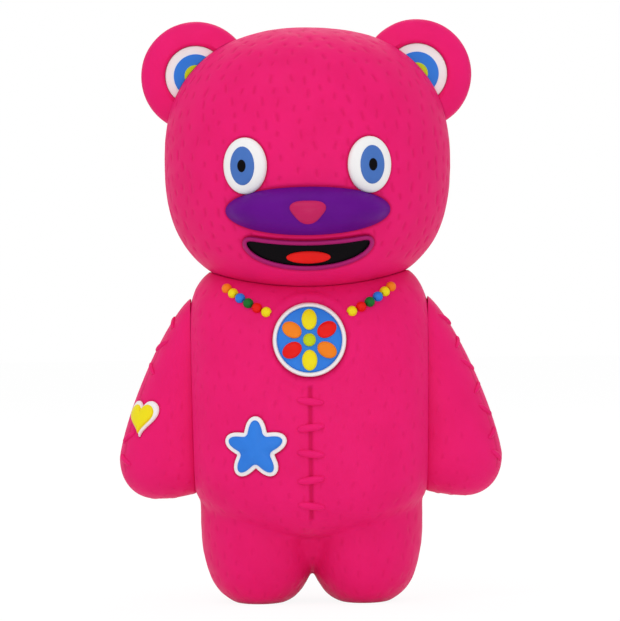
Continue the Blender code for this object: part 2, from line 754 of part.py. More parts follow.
def make_arm(frame):
    """A hollow arm with a snap-in shoulder tube on its flat inner face."""
    form = arm_form(frame)
    arm = form.solid(*ARM_MESH)
    rim_base = -(TURN_GAP + WALL + TURN_GAP)
    rim_end = rim_base - SHOULDER_RIM_THICKNESS
    join(arm, cylinder(frame, SHOULDER_RADIUS, (rim_base + rim_end) / 2, WALL / 2))
    join(arm, cylinder(frame, SHOULDER_RADIUS + SHOULDER_RIM, rim_end, rim_base))
    cavity = replace(form.grown(-WALL), top=form.top - ARM_SOLID_TIP)
    cut(arm, cavity.solid(ARM_SEGMENTS - 4, ARM_RINGS - 4))
    cut(arm, cylinder(frame, SHOULDER_RADIUS - WALL, rim_end - WALL, 2 * WALL))
    return arm


def arm_form(frame):
    """An arm's outer form on its shoulder frame."""
    return ArmForm(frame, ARM_THICKNESS, ARM_DEPTH / 2, ARM_TOP, ARM_HAND, ARM_PALM)


def make_heart(frame):
    """The heart patch on an arm: a white backing and the heart."""
    form = arm_form(frame)
    middle, half_out, half_depth = form.section(form.hand - HEART_BELOW_SHOULDER)
    sine, cosine = math.sin(HEART_TURN), math.cos(HEART_TURN)
    local = Vector((half_depth * sine, -HEART_BELOW_SHOULDER, middle + half_out * cosine))
    normal = Vector((half_out * sine, 0, half_depth * cosine))
    place = facing(frame @ local, frame.to_3x3() @ normal)
    backing = pad_on(form, place, heart(HEART_RADIUS + PATCH_BORDER), SEAT_GAP, PATCH_BACKING, ARM_MESH)
    face_base = PATCH_BACKING + SEAT_GAP
    face = pad_on(form, place, heart(HEART_RADIUS), face_base, face_base + PATCH_THICKNESS, ARM_MESH)
    return backing, face


def strand_point(belly, side, share):
    """A point of the bead strand, where share runs from 0 at its upper end to 1 at the pendant."""
    reach = PENDANT_RADIUS + BEAD_CLEARANCE
    turn = PENDANT_HANG_ANGLE
    low = Vector((reach * math.cos(turn), PENDANT_LEVEL + reach * math.sin(turn)))
    place = Vector((STRAND_HALF_WIDTH, STRAND_END_LEVEL)).lerp(low, share)
    return belly.front(side * place.x, place.y - STRAND_SAG * 4 * share * (1 - share))


def make_beads(belly):
    """The beads of the necklace, side by side along each strand and cut to sit on the chest."""
    beads = []
    for side in (-1, 1):
        samples = [strand_point(belly, side, i / 100) for i in range(101)]
        lengths = [0.0]
        for here, after in zip(samples, samples[1:]):
            lengths.append(lengths[-1] + (after - here).length)
        pitch = lengths[-1] / (BEADS_PER_SIDE - 1)
        radius = (pitch - SEAT_GAP) / 2
        for i in range(BEADS_PER_SIDE):
            nearest = min(range(101), key=lambda k: abs(lengths[k] - i * pitch))
            bead = Pillow(facing(samples[nearest], (0, -1, 0)), radius, radius, radius, 2.0)
            seat = belly.grown(SEAT_GAP).solid(*BODY_MESH)
            beads.append(cut(bead.solid(BEAD_SEGMENTS, BEAD_RINGS), seat))
    return beads


def make_pendant(belly):
    """The pendant: a disc in a rim, with a flower of petals round an eye."""
    frame = facing(belly.front(0, PENDANT_LEVEL), (0, -1, 0))
    inner = PENDANT_RADIUS - PENDANT_RIM_WIDTH
    rim = pad_on(belly, frame, circle(PENDANT_RADIUS), SEAT_GAP, PENDANT_PROUD + PETAL_THICKNESS, BODY_MESH)
    cut(rim, cylinder(frame, inner, -PENDANT_RADIUS, PENDANT_RADIUS))
    disc = pad_on(belly, frame, circle(inner - SEAT_GAP), SEAT_GAP, PENDANT_PROUD, BODY_MESH)
    base = PENDANT_PROUD + SEAT_GAP
    petals = []
    ring = inner - PETAL_LENGTH / 2 - 2 * SEAT_GAP
    for i in range(PETAL_COUNT):
        turn = 2 * math.pi * i / PETAL_COUNT + math.pi / 2
        centre = (ring * math.cos(turn), ring * math.sin(turn))
        outline = ellipse(PETAL_LENGTH / 2, PETAL_WIDTH / 2, centre, turn)
        petals.append(pad_on(belly, frame, outline, base, base + PETAL_THICKNESS, BODY_MESH))
    eye = pad_on(belly, frame, circle(FLOWER_EYE_RADIUS, 12), base, base + PETAL_THICKNESS, BODY_MESH)
    return rim, disc, petals, eye


def make_star(belly):
    """The star patch on the belly: a white backing and the star."""
    x, z = STAR_PLACE
    frame = belly.front_frame(x, z)
    outline = star(STAR_RADIUS)
    border = spread(outline, PATCH_BORDER)
    backing = pad_on(belly, frame, border, SEAT_GAP, PATCH_BACKING, BODY_MESH)
    face_base = PATCH_BACKING + SEAT_GAP
    face = pad_on(belly, frame, outline, face_base, face_base + PATCH_THICKNESS, BODY_MESH)
    return backing, face


class Figure:
    """Names, dresses and hangs the pieces on the figure's axes."""

    def __init__(self, depth_shift):
        self.materials = make_materials()
        self.root = self.axis("figure", Matrix.Translation((0, depth_shift, 0)))

    def axis(self, name, place, parent=None):
        """An empty that carries the pieces of one moving group."""
        empty = bpy.data.objects.new(name, None)
        bpy.context.scene.collection.objects.link(empty)
        empty.parent = parent
        empty.matrix_basis = place
        return empty

    def add(self, obj, name, finish, axis, place=UPRIGHT):
        """Names a piece, gives it its finish and hangs it on an axis that stands at place."""
        obj.name = name
        obj.data.name = name
        obj.data.transform(place.inverted())
        obj.data.materials.clear()
        obj.data.materials.append(self.materials[finish])
        obj.data.shade_smooth()
        obj.data.set_sharp_from_angle(angle=SHARP_ANGLE)
        obj.parent = axis


def build():
    """Models the whole figure."""
    clear_scene()
    head, belly = head_form(), belly_form()
    muzzle = muzzle_form(head)
    nose_reach = -muzzle.frame.translation.y + muzzle.half_thickness + NOSE_PROUD
    figure = Figure((nose_reach - HEAD_DEPTH / 2) / 2)

    shoulders = {name: shoulder_frame(side, belly) for name, side in (("right", -1), ("left", 1))}
    ear_places = {name: ear_frame(head, side) for name, side in (("right", -1), ("left", 1))}

    trunk = figure.axis("trunk", UPRIGHT, figure.root)
    figure.add(make_body(head, belly, shoulders.values()), "body_shell", "pink_vinyl", trunk)
    for i, bead in enumerate(make_beads(belly)):
        figure.add(bead, f"bead_{i + 1:02d}", BEAD_FINISHES[i % len(BEAD_FINISHES)], trunk)
    rim, disc, petals, flower_eye = make_pendant(belly)
    figure.add(rim, "pendant_rim", "white_vinyl", trunk)
    figure.add(disc, "pendant_disc", "blue_vinyl", trunk)
    for i, petal in enumerate(petals):
        figure.add(petal, f"pendant_petal_{i + 1}", PETAL_FINISHES[i % len(PETAL_FINISHES)], trunk)
    figure.add(flower_eye, "pendant_flower_eye", "lime_vinyl", trunk)
    backing, face = make_star(belly)
    figure.add(backing, "belly_star_backing", "white_vinyl", trunk)
    figure.add(face, "belly_star", "blue_vinyl", trunk)

    neck_place = Matrix.Translation((0, 0, head.centre.z - head.drop))
    neck = figure.axis("neck_axis", neck_place, figure.root)
    figure.add(make_head(head, ear_places.values()), "head_shell", "pink_vinyl", neck, neck_place)
    for name, place in ear_places.items():
        ear, inlays = make_ear(head, place)
        figure.add(ear, f"{name}_ear", "pink_vinyl", neck, neck_place)
        for inlay, part, finish in zip(inlays, ("disc", "ring", "button"),
                                       ("white_vinyl", "blue_vinyl", "lime_vinyl")):
            figure.add(inlay, f"{name}_ear_{part}", finish, neck, neck_place)
    for name, side in (("right", -1), ("left", 1)):
        for piece, part, finish in zip(make_eye(head, side), ("eye_white", "iris", "pupil"),
                                       ("white_vinyl", "blue_vinyl", "black_vinyl")):
            figure.add(piece, f"{name}_{part}", finish, neck, neck_place)
    muzzle_pad, nose = make_muzzle(head, muzzle)
    figure.add(muzzle_pad, "muzzle", "purple_vinyl", neck, neck_place)
    figure.add(nose, "nose", "rose_vinyl", neck, neck_place)
    lip, mouth, tongue = make_mouth(head, muzzle)
    figure.add(lip, "lip", "magenta_vinyl", neck, neck_place)
    figure.add(mouth, "mouth", "black_vinyl", neck, neck_place)
    figure.add(tongue, "tongue", "red_vinyl", neck, neck_place)

    for name, place in shoulders.items():
        axis = figure.axis(f"{name}_shoulder_axis", place, figure.root)
        figure.add(make_arm(place), f"{name}_arm", "pink_vinyl", axis, place)
        if name == "right":
            backing, face = make_heart(place)
            figure.add(backing, "arm_heart_backing", "white_vinyl", axis, place)
            figure.add(face, "arm_heart", "yellow_vinyl", axis, place)


build()
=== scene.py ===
"""The looks of a hollow vinyl bear figure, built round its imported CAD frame.

The figure faces -Y and stands on Z = 0. Its own left is +X. Sizes are in metres.
"""

import logging
import math
import random
from dataclasses import dataclass, field, replace
from enum import Enum
from typing import Callable, Iterable

import bmesh
import bpy
from mathutils import Matrix, Vector, noise
from mathutils.kdtree import KDTree


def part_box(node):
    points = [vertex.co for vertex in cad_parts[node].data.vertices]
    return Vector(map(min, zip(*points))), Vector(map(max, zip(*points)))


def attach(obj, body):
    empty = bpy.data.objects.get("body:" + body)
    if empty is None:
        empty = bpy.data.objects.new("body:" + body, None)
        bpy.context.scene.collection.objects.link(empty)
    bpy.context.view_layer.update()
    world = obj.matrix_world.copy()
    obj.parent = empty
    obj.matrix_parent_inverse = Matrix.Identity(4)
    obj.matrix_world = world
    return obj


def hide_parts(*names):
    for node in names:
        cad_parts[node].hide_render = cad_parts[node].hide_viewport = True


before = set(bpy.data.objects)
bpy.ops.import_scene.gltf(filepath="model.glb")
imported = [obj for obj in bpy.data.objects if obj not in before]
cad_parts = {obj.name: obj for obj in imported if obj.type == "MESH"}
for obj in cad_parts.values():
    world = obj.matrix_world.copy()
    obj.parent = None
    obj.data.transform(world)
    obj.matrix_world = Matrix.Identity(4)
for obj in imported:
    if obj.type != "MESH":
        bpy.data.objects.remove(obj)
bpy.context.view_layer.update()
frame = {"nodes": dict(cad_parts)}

LOG = logging.getLogger("vinyl_bear")
MM = 0.001
UP = Vector((0, 0, 1))
FORWARD = Vector((0, -1, 0))
SHARP_ANGLE = math.radians(50.0)
SLIVER = 0.002 * MM

Colour = tuple[float, float, float]
Outline = list[tuple[float, float]]
Seat = Callable[[float, float], Vector]


class Body(Enum):
    """The CAD bodies that pieces ride on."""

    TRUNK = "trunk"
    HEAD = "head"
    LEFT_ARM = "left_arm"
    RIGHT_ARM = "right_arm"


class Slot(Enum):
    """The record's material slots."""

    PINK = "pink_vinyl"
    WHITE = "white_vinyl"
    BLUE = "blue_vinyl"
    LIME = "lime_vinyl"
    YELLOW = "yellow_vinyl"
    ORANGE = "orange_vinyl"
    RED = "red_vinyl"
    GREEN = "green_vinyl"
    PURPLE = "purple_vinyl"
    ROSE = "rose_vinyl"
    MAGENTA = "magenta_vinyl"
    BLACK = "black_vinyl"


class Side(Enum):
    """The figure's own sides, as signs along X."""

    RIGHT = -1
    LEFT = 1

    @property
    def word(self) -> str:
        """The side's name in node names."""
        return self.name.lower()


@dataclass(frozen=True)
class VinylFinish:
    """A soft moulded vinyl, mottled in tone, faintly grained and darkened by painted shade in its engraved grooves.

    Attributes:
        slot: The record's material slot.
        colour: The main linear colour.
        deep: The linear colour of mottled and engraved places.
        roughness: The middle of the roughness range.
        mottle: How far the mottling goes towards the deep colour.
        grain: The strength of the fine surface grain.
        softness: The share of light that scatters below the surface.
        gloss: The strength of its reflections.
        shade: A word for a second shade in the same slot.
    """

    slot: Slot
    colour: Colour
    deep: Colour
    roughness: float = 0.42
    mottle: float = 0.35
    grain: float = 0.10
    softness: float = 0.0
    gloss: float = 0.12
    shade: str = "plain"

    def material(self) -> bpy.types.Material:
        """Makes the finish's material, or finds it if it is made.

        Returns:
            The procedural material.
        """
        name = f"{self.shade}_{self.slot.value}"
        made = bpy.data.materials.get(name)
        if made:
            return made
        made = bpy.data.materials.new(name)
        made.use_nodes = True
        nodes, links = made.node_tree.nodes, made.node_tree.links
        shader = nodes["Principled BSDF"]
        shader.inputs["Specular IOR Level"].default_value = self.gloss
        shader.inputs["Subsurface Weight"].default_value = self.softness
        shader.inputs["Subsurface Radius"].default_value = (1.0, 0.25, 0.35)
        shader.inputs["Subsurface Scale"].default_value = 0.003

        place = nodes.new("ShaderNodeTexCoord").outputs["Object"]
        clouds = self._noise(nodes, links, place, 85.0, 4.0)
        tone = self._range(nodes, links, clouds, 0.42, 0.72, 0.0, self.mottle)
        # Painted shade: the mesh's groove layer darkens engraved grooves towards the deep colour, wherever it is
        # darker than the random mottle.
        engraved = nodes.new("ShaderNodeAttribute")
        engraved.attribute_name = Relief.LAYER
        both = nodes.new("ShaderNodeMath")
        both.operation = "MAXIMUM"
        links.new(tone, both.inputs[0])
        links.new(engraved.outputs["Fac"], both.inputs[1])
        mix = nodes.new("ShaderNodeMix")
        mix.data_type = "RGBA"
        mix.inputs["A"].default_value = (*self.colour, 1.0)
        mix.inputs["B"].default_value = (*self.deep, 1.0)
        links.new(both.outputs[0], mix.inputs["Factor"])
        links.new(mix.outputs["Result"], shader.inputs["Base Color"])

        patches = self._noise(nodes, links, place, 240.0, 3.0)
        sheen = self._range(nodes, links, patches, 0.3, 0.7, self.roughness - 0.06, self.roughness + 0.08)
        links.new(sheen, shader.inputs["Roughness"])
        bump = nodes.new("ShaderNodeBump")
        bump.inputs["Strength"].default_value = self.grain
        bump.inputs["Distance"].default_value = 0.0004
        links.new(self._noise(nodes, links, place, 1400.0, 2.0), bump.inputs["Height"])
        links.new(bump.outputs["Normal"], shader.inputs["Normal"])
        return made

    @staticmethod
    def _noise(nodes, links, place, scale: float, detail: float) -> bpy.types.NodeSocket:
        """Adds a noise texture on the object's own coordinates and returns its value."""
        texture = nodes.new("ShaderNodeTexNoise")
        texture.inputs["Scale"].default_value = scale
        texture.inputs["Detail"].default_value = detail
        links.new(place, texture.inputs["Vector"])
        return texture.outputs["Fac"]

    @staticmethod
    def _range(nodes, links, value, low: float, high: float, start: float, end: float) -> bpy.types.NodeSocket:
        """Adds a node that maps low..high to start..end and returns its value."""
        mapped = nodes.new("ShaderNodeMapRange")
        for key, number in (("From Min", low), ("From Max", high), ("To Min", start), ("To Max", end)):
            mapped.inputs[key].default_value = number
        links.new(value, mapped.inputs["Value"])
        return mapped.outputs["Result"]


class Finishes:
    """The figure's finishes."""

    # Each second colour is both the tone of the random mottle and the painted shade in engraved grooves; the pink's is
    # redder like its shaded creases.
    PINK = VinylFinish(Slot.PINK, (0.80, 0.012, 0.158), (0.57, 0.004, 0.072), 0.50, 0.16, 0.16, 0.10, 0.06)
    WHITE = VinylFinish(Slot.WHITE, (0.86, 0.85, 0.85), (0.76, 0.75, 0.76), 0.38)
    BLUE = VinylFinish(Slot.BLUE, (0.030, 0.205, 0.730), (0.018, 0.130, 0.560), 0.40)
    LIME = VinylFinish(Slot.LIME, (0.520, 0.640, 0.010), (0.400, 0.520, 0.006), 0.40)
    YELLOW = VinylFinish(Slot.YELLOW, (0.850, 0.720, 0.010), (0.760, 0.560, 0.006), 0.40)
    ORANGE = VinylFinish(Slot.ORANGE, (0.880, 0.230, 0.012), (0.720, 0.150, 0.006), 0.40)
    RED = VinylFinish(Slot.RED, (0.800, 0.010, 0.008), (0.600, 0.005, 0.004), 0.40)
    GREEN = VinylFinish(Slot.GREEN, (0.010, 0.160, 0.025), (0.006, 0.110, 0.016), 0.40)
    PURPLE = VinylFinish(Slot.PURPLE, (0.122, 0.004, 0.240), (0.080, 0.002, 0.165), 0.46, gloss=0.06)
    ROSE = VinylFinish(Slot.ROSE, (0.525, 0.014, 0.108), (0.400, 0.008, 0.075), 0.38)
    MAGENTA = VinylFinish(Slot.MAGENTA, (0.390, 0.012, 0.150), (0.280, 0.006, 0.100), 0.42)
    BLACK = VinylFinish(Slot.BLACK, (0.004, 0.003, 0.004), (0.002, 0.002, 0.002), 0.40, gloss=0.04)
    IRIS = VinylFinish(Slot.BLUE, (0.062, 0.165, 0.490), (0.040, 0.115, 0.380), 0.40, shade="iris")


def superellipse(share: float, power: float) -> float:
    """The half-width of a unit superellipse at this share of its height."""
    return max(0.0, 1.0 - min(1.0, abs(share)) ** power) ** (1.0 / power)


def smooth_step(t: float) -> float:
    """Runs from 0 to 1 with flat ends."""
    t = min(1.0, max(0.0, t))
    return t * t * (3.0 - 2.0 * t)


def facing(point: Vector, normal: Vector, up: Vector = UP) -> Matrix:
    """Makes a frame on a surface.

    Args:
        point: The frame's origin.
        normal: The way that its Z looks.
        up: The way that its Y leans.

    Returns:
        The frame as a matrix.
    """
    z_axis = Vector(normal).normalized()
    x_axis = up.cross(z_axis).normalized()
    turn = Matrix((x_axis, z_axis.cross(x_axis), z_axis)).transposed()
    return Matrix.Translation(point) @ turn.to_4x4()


def even_ball(cuts: int) -> bmesh.types.BMesh:
    """A unit ball of nearly even quads, made from a cube with this many cuts in each edge."""
    bm = bmesh.new()
    bmesh.ops.create_cube(bm, size=2.0)
    bmesh.ops.subdivide_edges(bm, edges=bm.edges, cuts=cuts, use_grid_fill=True)
    for vert in bm.verts:
        vert.co = Vector([math.tan(part * math.pi / 4) for part in vert.co]).normalized()
    return bm


def baked(piece: bpy.types.Object) -> bmesh.types.BMesh:
    """Takes a scratch object's mesh with its modifiers applied, and removes the object.

    Args:
        piece: The scratch object.

    Returns:
        The finished mesh.
    """
    bpy.context.view_layer.update()
    graph = bpy.context.evaluated_depsgraph_get()
    mesh = bpy.data.meshes.new_from_object(piece.evaluated_get(graph))
    bm = bmesh.new()
    bm.from_mesh(mesh)
    bpy.data.meshes.remove(mesh)
    bpy.data.objects.remove(piece)
    return bm


def scratch_object(bm: bmesh.types.BMesh, name: str) -> bpy.types.Object:
    """Makes an object from a mesh with its faces turned outwards.

    Args:
        bm: The mesh, which is freed.
        name: The object's name.

    Returns:
        The linked object.
    """
    bmesh.ops.recalc_face_normals(bm, faces=bm.faces)
    if bm.calc_volume(signed=True) < 0:
        bmesh.ops.reverse_faces(bm, faces=bm.faces)
    mesh = bpy.data.meshes.new(name)
    bm.to_mesh(mesh)
    bm.free()
    made = bpy.data.objects.new(name, mesh)
    bpy.context.scene.collection.objects.link(made)
    return made


def carved(bm: bmesh.types.BMesh, cutter: bmesh.types.BMesh) -> bmesh.types.BMesh:
    """Cuts one closed mesh out of another.

    Args:
        bm: The mesh to cut.
        cutter: The mesh to take away.

    Returns:
        What is left.
    """
    target, tool = scratch_object(bm, "carved"), scratch_object(cutter, "cutter")
    modifier = target.modifiers.new("carve", "BOOLEAN")
    modifier.operation = "DIFFERENCE"
    modifier.solver = "EXACT"
    modifier.object = tool
    left = baked(target)
    bpy.data.objects.remove(tool)
    bmesh.ops.remove_doubles(left, verts=left.verts, dist=SLIVER)
    bmesh.ops.triangulate(left, faces=[face for face in left.faces if len(face.verts) > 4])
    return left


def add_piece(bm: bmesh.types.BMesh, name: str, body: Body, finish: VinylFinish, *nodes: str) -> bpy.types.Object:
    """Dresses a mesh, puts it on its body and hides the CAD nodes that it stands for.

    Args:
        bm: The mesh, which is freed.
        name: The piece's name.
        body: The body it rides on.
        finish: What it is made of.
        nodes: The CAD nodes that it replaces.

    Returns:
        The finished piece.
    """
    piece = scratch_object(bm, name)
    piece.data.shade_smooth()
    piece.data.set_sharp_from_angle(angle=SHARP_ANGLE)
    piece.data.materials.append(finish.material())
    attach(piece, body.value)
    if nodes:
        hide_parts(*nodes)
    LOG.info("%s: %d faces in %s on %s", name, len(piece.data.polygons), finish.slot.value, body.value)
    return piece


@dataclass(frozen=True)
class Ovoid:
    """A form with a superellipse profile above and below its equator.

    Its level sections are ellipses, or squarer ones that become ellipses towards its poles.

    Attributes:
        centre: The middle of its equator.
        half_width: Half its width along X.
        half_depth: Half its depth along Y.
        rise: Its height above the equator.
        drop: Its height below the equator.
        above: The profile's powers in width and depth above the equator.
        below: The same below the equator.
        base_rounding: The shares of the drop between which the section becomes round, if it does.
        squareness: The superellipse power of its section at the equator.
    """

    centre: Vector
    half_width: float
    half_depth: float
    rise: float
    drop: float
    above: tuple[float, float]
    below: tuple[float, float]
    base_rounding: tuple[float, float] | None = None
    squareness: float = 2.0

    def grown(self, by: float) -> "Ovoid":
        """The same form, larger by this much on every side."""
        return replace(self, half_width=self.half_width + by, half_depth=self.half_depth + by,
                       rise=self.rise + by, drop=self.drop + by)

    def share(self, level: float) -> float:
        """A level above the equator as a share of the way to its pole."""
        return level / (self.rise if level > 0 else self.drop)

    def power(self, level: float) -> float:
        """The superellipse power of the section at a level."""
        return 2.0 + (self.squareness - 2.0) * (1.0 - min(1.0, abs(self.share(level))) ** 3)

    def section(self, level: float) -> tuple[float, float]:
        """Half the width and half the depth at a level above the equator."""
        share = self.share(level)
        powers = self.above if level > 0 else self.below
        width = self.half_width * superellipse(share, powers[0])
        depth = self.half_depth * superellipse(share, powers[1])
        if self.base_rounding and level < 0:
            start, end = self.base_rounding
            depth += (width - depth) * smooth_step((-share - start) / (end - start))
        return width, depth

    def point(self, way: Vector) -> Vector:
        """The surface point that a unit ball's point moves to."""
        level = way.z * (self.rise if way.z > 0 else self.drop)
        width, depth = self.section(level)
        flat = Vector((way.x, way.y))
        flat = flat.normalized() if flat.length > 1e-6 else flat
        bend = 2.0 / self.power(level)
        across, along = (math.copysign(abs(part) ** bend, part) for part in flat)
        return self.centre + Vector((across * width, along * depth, level))

    def inside(self, point: Vector) -> bool:
        """True where a point is within the form."""
        away = point - self.centre
        if not -self.drop < away.z < self.rise:
            return False
        width, depth = self.section(away.z)
        power = self.power(away.z)
        return (abs(away.x) / width) ** power + (abs(away.y) / depth) ** power < 1.0

    def front(self, x: float, z: float) -> Vector:
        """The point of the front surface at this x and z."""
        level = z - self.centre.z
        width, depth = self.section(level)
        forward = depth * superellipse((x - self.centre.x) / width, self.power(level))
        return Vector((x, self.centre.y - forward, z))

    def front_frame(self, x: float, z: float) -> Matrix:
        """A frame on the front surface, facing out."""
        step = 0.5 * MM
        across = self.front(x + step, z) - self.front(x - step, z)
        upward = self.front(x, z + step) - self.front(x, z - step)
        return facing(self.front(x, z), across.cross(upward))

    def base_level(self, radius: float) -> float:
        """The height of the underside at this distance from the axis."""
        return self.centre.z - self.drop * superellipse(radius / self.half_width, self.below[0])

    def mesh(self, cuts: int) -> bmesh.types.BMesh:
        """The form as a closed mesh of even quads."""
        bm = even_ball(cuts)
        for vert in bm.verts:
            vert.co = self.point(vert.co)
        return bm


@dataclass(frozen=True)
class ArmForm:
    """An arm that hangs from its shoulder, with its frame's Z out of the flat inner face and Y up the arm.

    Attributes:
        frame: The shoulder's frame.
        thickness: The arm's reach out from its flat face.
        half_depth: Half its depth from front to back.
        top: How far it goes above the shoulder.
        hand: How far its widest place is below the shoulder.
        palm: How far it goes on below that.
        middle: How far out the middle of its section lies at the hand.
        taper: The powers of its taper in thickness and depth.
        palm_rounding: The powers of the hand's round on its outside and inside.
        tip_sink: How far the tip's middle lies behind the flat face.
        edge: How soft the edge round the flat face is.
    """

    frame: Matrix
    thickness: float = 25.9 * MM
    half_depth: float = 16.5 * MM
    top: float = 14.0 * MM
    hand: float = 40.0 * MM
    palm: float = 14.2 * MM
    middle: float = 5.0 * MM
    taper: tuple[float, float] = (1.27, 3.0)
    palm_rounding: tuple[float, float] = (2.2, 2.0)
    tip_sink: float = 0.6 * MM
    edge: float = 0.45 * MM

    def section(self, level: float) -> tuple[float, float, float]:
        """The outward middle, half-thickness and half-depth at a level above the hand's widest place."""
        if level > 0:
            share = level / (self.top + self.hand)
            outer = self.thickness * superellipse(share, self.taper[0])
            middle = self.middle - (self.middle + self.tip_sink) * smooth_step(level / self.hand)
            return middle, max(0.0, outer - middle), self.half_depth * superellipse(share, self.taper[1])
        centre = self.thickness / 2
        reach = self.thickness - self.middle + centre - self.middle
        rounding = superellipse(level / self.palm, self.palm_rounding[0])
        outer = centre + centre * rounding
        inner = centre - reach * superellipse(level / self.palm, self.palm_rounding[1])
        return (outer + inner) / 2, (outer - inner) / 2, self.half_depth * rounding

    def local(self, way: Vector) -> Vector:
        """The point in the shoulder's frame that a unit ball's point moves to, kept off the flat face."""
        level = way.z * (self.top + self.hand if way.z > 0 else self.palm)
        middle, half_out, half_depth = self.section(level)
        flat = Vector((way.x, way.y))
        flat = flat.normalized() if flat.length > 1e-6 else flat
        out = middle + flat.y * half_out
        out = (out + math.sqrt(out * out + self.edge * self.edge)) / 2
        return Vector((flat.x * half_depth, level - self.hand, out))

    def inside(self, point: Vector) -> bool:
        """True where a point is within the arm."""
        here = self.frame.inverted() @ point
        level = here.y + self.hand
        if not -self.palm < level < self.top + self.hand or here.z < 0:
            return False
        middle, half_out, half_depth = self.section(level)
        return (here.x / half_depth) ** 2 + ((here.z - middle) / half_out) ** 2 < 1.0


def seat_on(form: Ovoid | ArmForm, place: Matrix, reach: float = 30 * MM) -> Seat:
    """Finds the points of a form's surface behind a frame's plane.

    Args:
        form: The form that carries a piece.
        place: The piece's frame.
        reach: How far the surface may lie before or behind the plane.

    Returns:
        A function from a point of the plane to the surface point.
    """
    out = place.to_3x3() @ UP

    def seat(x: float, y: float) -> Vector:
        start = place @ Vector((x, y, 0))
        low, high = -reach, reach
        for _ in range(30):
            middle = (low + high) / 2
            low, high = (middle, high) if form.inside(start + out * middle) else (low, middle)
        return start + out * low

    return seat


class Relief:
    """Raises and engraves a mesh along its own normals, and marks painted shade on the engraved places."""

    LAYER = "painted_groove_shade"

    def __init__(self, bm: bmesh.types.BMesh) -> None:
        """Reads the mesh's points and normals.

        Args:
            bm: The mesh to work on.
        """
        bm.normal_update()
        self.bm = bm
        self.places = [vert.co.copy() for vert in bm.verts]
        self.normals = [vert.normal.copy() for vert in bm.verts]
        self.heights = [0.0] * len(self.places)
        # How strongly painted shade darkens each point.
        self.marks = [0.0] * len(self.places)
        self.tree = KDTree(len(self.places))
        for index, place in enumerate(self.places):
            self.tree.insert(place, index)
        self.tree.balance()

    def stroke(self, start: Vector, end: Vector, radius: float, height: float, mark: float, taper: bool) -> None:
        """Raises or engraves a soft bar between two points, and paints shade along it.

        Args:
            start: One end.
            end: The other end.
            radius: How far to either side it reaches.
            height: How high it stands, or how deep it goes if negative.
            mark: How strongly painted shade darkens it.
            taper: True if it fades out to its ends.
        """
        run = end - start
        length = max(run.length, 1e-9)
        for place, index, _ in self.tree.find_range((start + end) / 2, length / 2 + radius):
            along = min(1.0, max(0.0, (place - start).dot(run) / length ** 2))
            gap = (place - start - run * along).length
            if gap >= radius:
                continue
            share = (1.0 - (gap / radius) ** 2) ** 2
            if taper:
                share *= 1.0 - abs(2.0 * along - 1.0) ** 3
            if abs(height * share) > abs(self.heights[index]):
                self.heights[index] = height * share
            self.marks[index] = max(self.marks[index], mark * share)

    def line(self, points: list[Vector], radius: float, height: float, mark: float = 0.0) -> None:
        """Raises or engraves a soft line through these points, with painted shade of the given strength."""
        for start, end in zip(points, points[1:]):
            self.stroke(start, end, radius, height, mark, False)

    def scatter(self, spacing: float, seed: int, keep: Callable[[Vector, Vector], bool]) -> list[int]:
        """Picks mesh points at random, no two of them closer than the spacing.

        Args:
            spacing: The least distance between two points.
            seed: The random seed.
            keep: Says from a place and its normal whether a point may be picked.

        Returns:
            The points' numbers.
        """
        order = list(range(len(self.places)))
        random.Random(seed).shuffle(order)
        picked: list[int] = []
        cells: dict[tuple[int, int, int], list[Vector]] = {}
        for index in order:
            place = self.places[index]
            cell = tuple(math.floor(part / spacing) for part in place)
            around = [(cell[0] + i, cell[1] + j, cell[2] + k)
                      for i in (-1, 0, 1) for j in (-1, 0, 1) for k in (-1, 0, 1)]
            near = (other for key in around for other in cells.get(key, ()))
            if any((other - place).length < spacing for other in near):
                continue
            if keep(place, self.normals[index]):
                picked.append(index)
                cells.setdefault(cell, []).append(place)
        return picked

    def fur(self, strokes: "FurStrokes", keep: Callable[[Vector, Vector], bool]) -> None:
        """Engraves short strokes that run down the surface, darkened with painted shade.

        Args:
            strokes: Their sizes.
            keep: Says from a place and its normal whether a stroke may be there.
        """
        rng = random.Random(strokes.seed)
        for index in self.scatter(strokes.spacing, strokes.seed, keep):
            normal, place = self.normals[index], self.places[index]
            down = -UP + normal * normal.z
            if down.length < 0.05:
                continue
            lean = Matrix.Rotation(rng.uniform(-strokes.lean, strokes.lean), 3, normal)
            half = (lean @ down.normalized()) * rng.uniform(*strokes.length) / 2
            depth = strokes.depth * rng.uniform(0.6, 1.0)
            self.stroke(place - half, place + half, strokes.radius, -depth, strokes.mark, True)

    def ripple(self, size: float, height: float, seed: float) -> None:
        """Adds soft lumps of about this size, up to this height."""
        shift = Vector((seed, 2.0 * seed, -seed))
        for index, place in enumerate(self.places):
            self.heights[index] += height * noise.noise(place / size + shift)

    def apply(self) -> bmesh.types.BMesh:
        """Moves the mesh's points, writes the painted shade marks and returns the mesh."""
        layer = self.bm.verts.layers.float.new(self.LAYER)
        for index, vert in enumerate(self.bm.verts):
            vert.co = self.places[index] + self.normals[index] * self.heights[index]
            vert[layer] = self.marks[index]
        return self.bm


@dataclass(frozen=True)
class FurStrokes:
    """The sizes of engraved fur.

    Attributes:
        spacing: The least distance between strokes.
        length: The shortest and longest stroke.
        radius: How far a stroke reaches to either side.
        depth: How deep the deepest goes.
        mark: How far painted shade in a stroke takes its colour towards the finish's deep colour.
        lean: The most that a stroke leans from straight down.
        seed: The random seed.
    """

    spacing: float
    length: tuple[float, float]
    radius: float
    depth: float
    mark: float
    lean: float
    seed: int


def circle(radius: float, count: int = 96) -> Outline:
    """Points of a circle."""
    return ellipse(radius, radius, count=count)


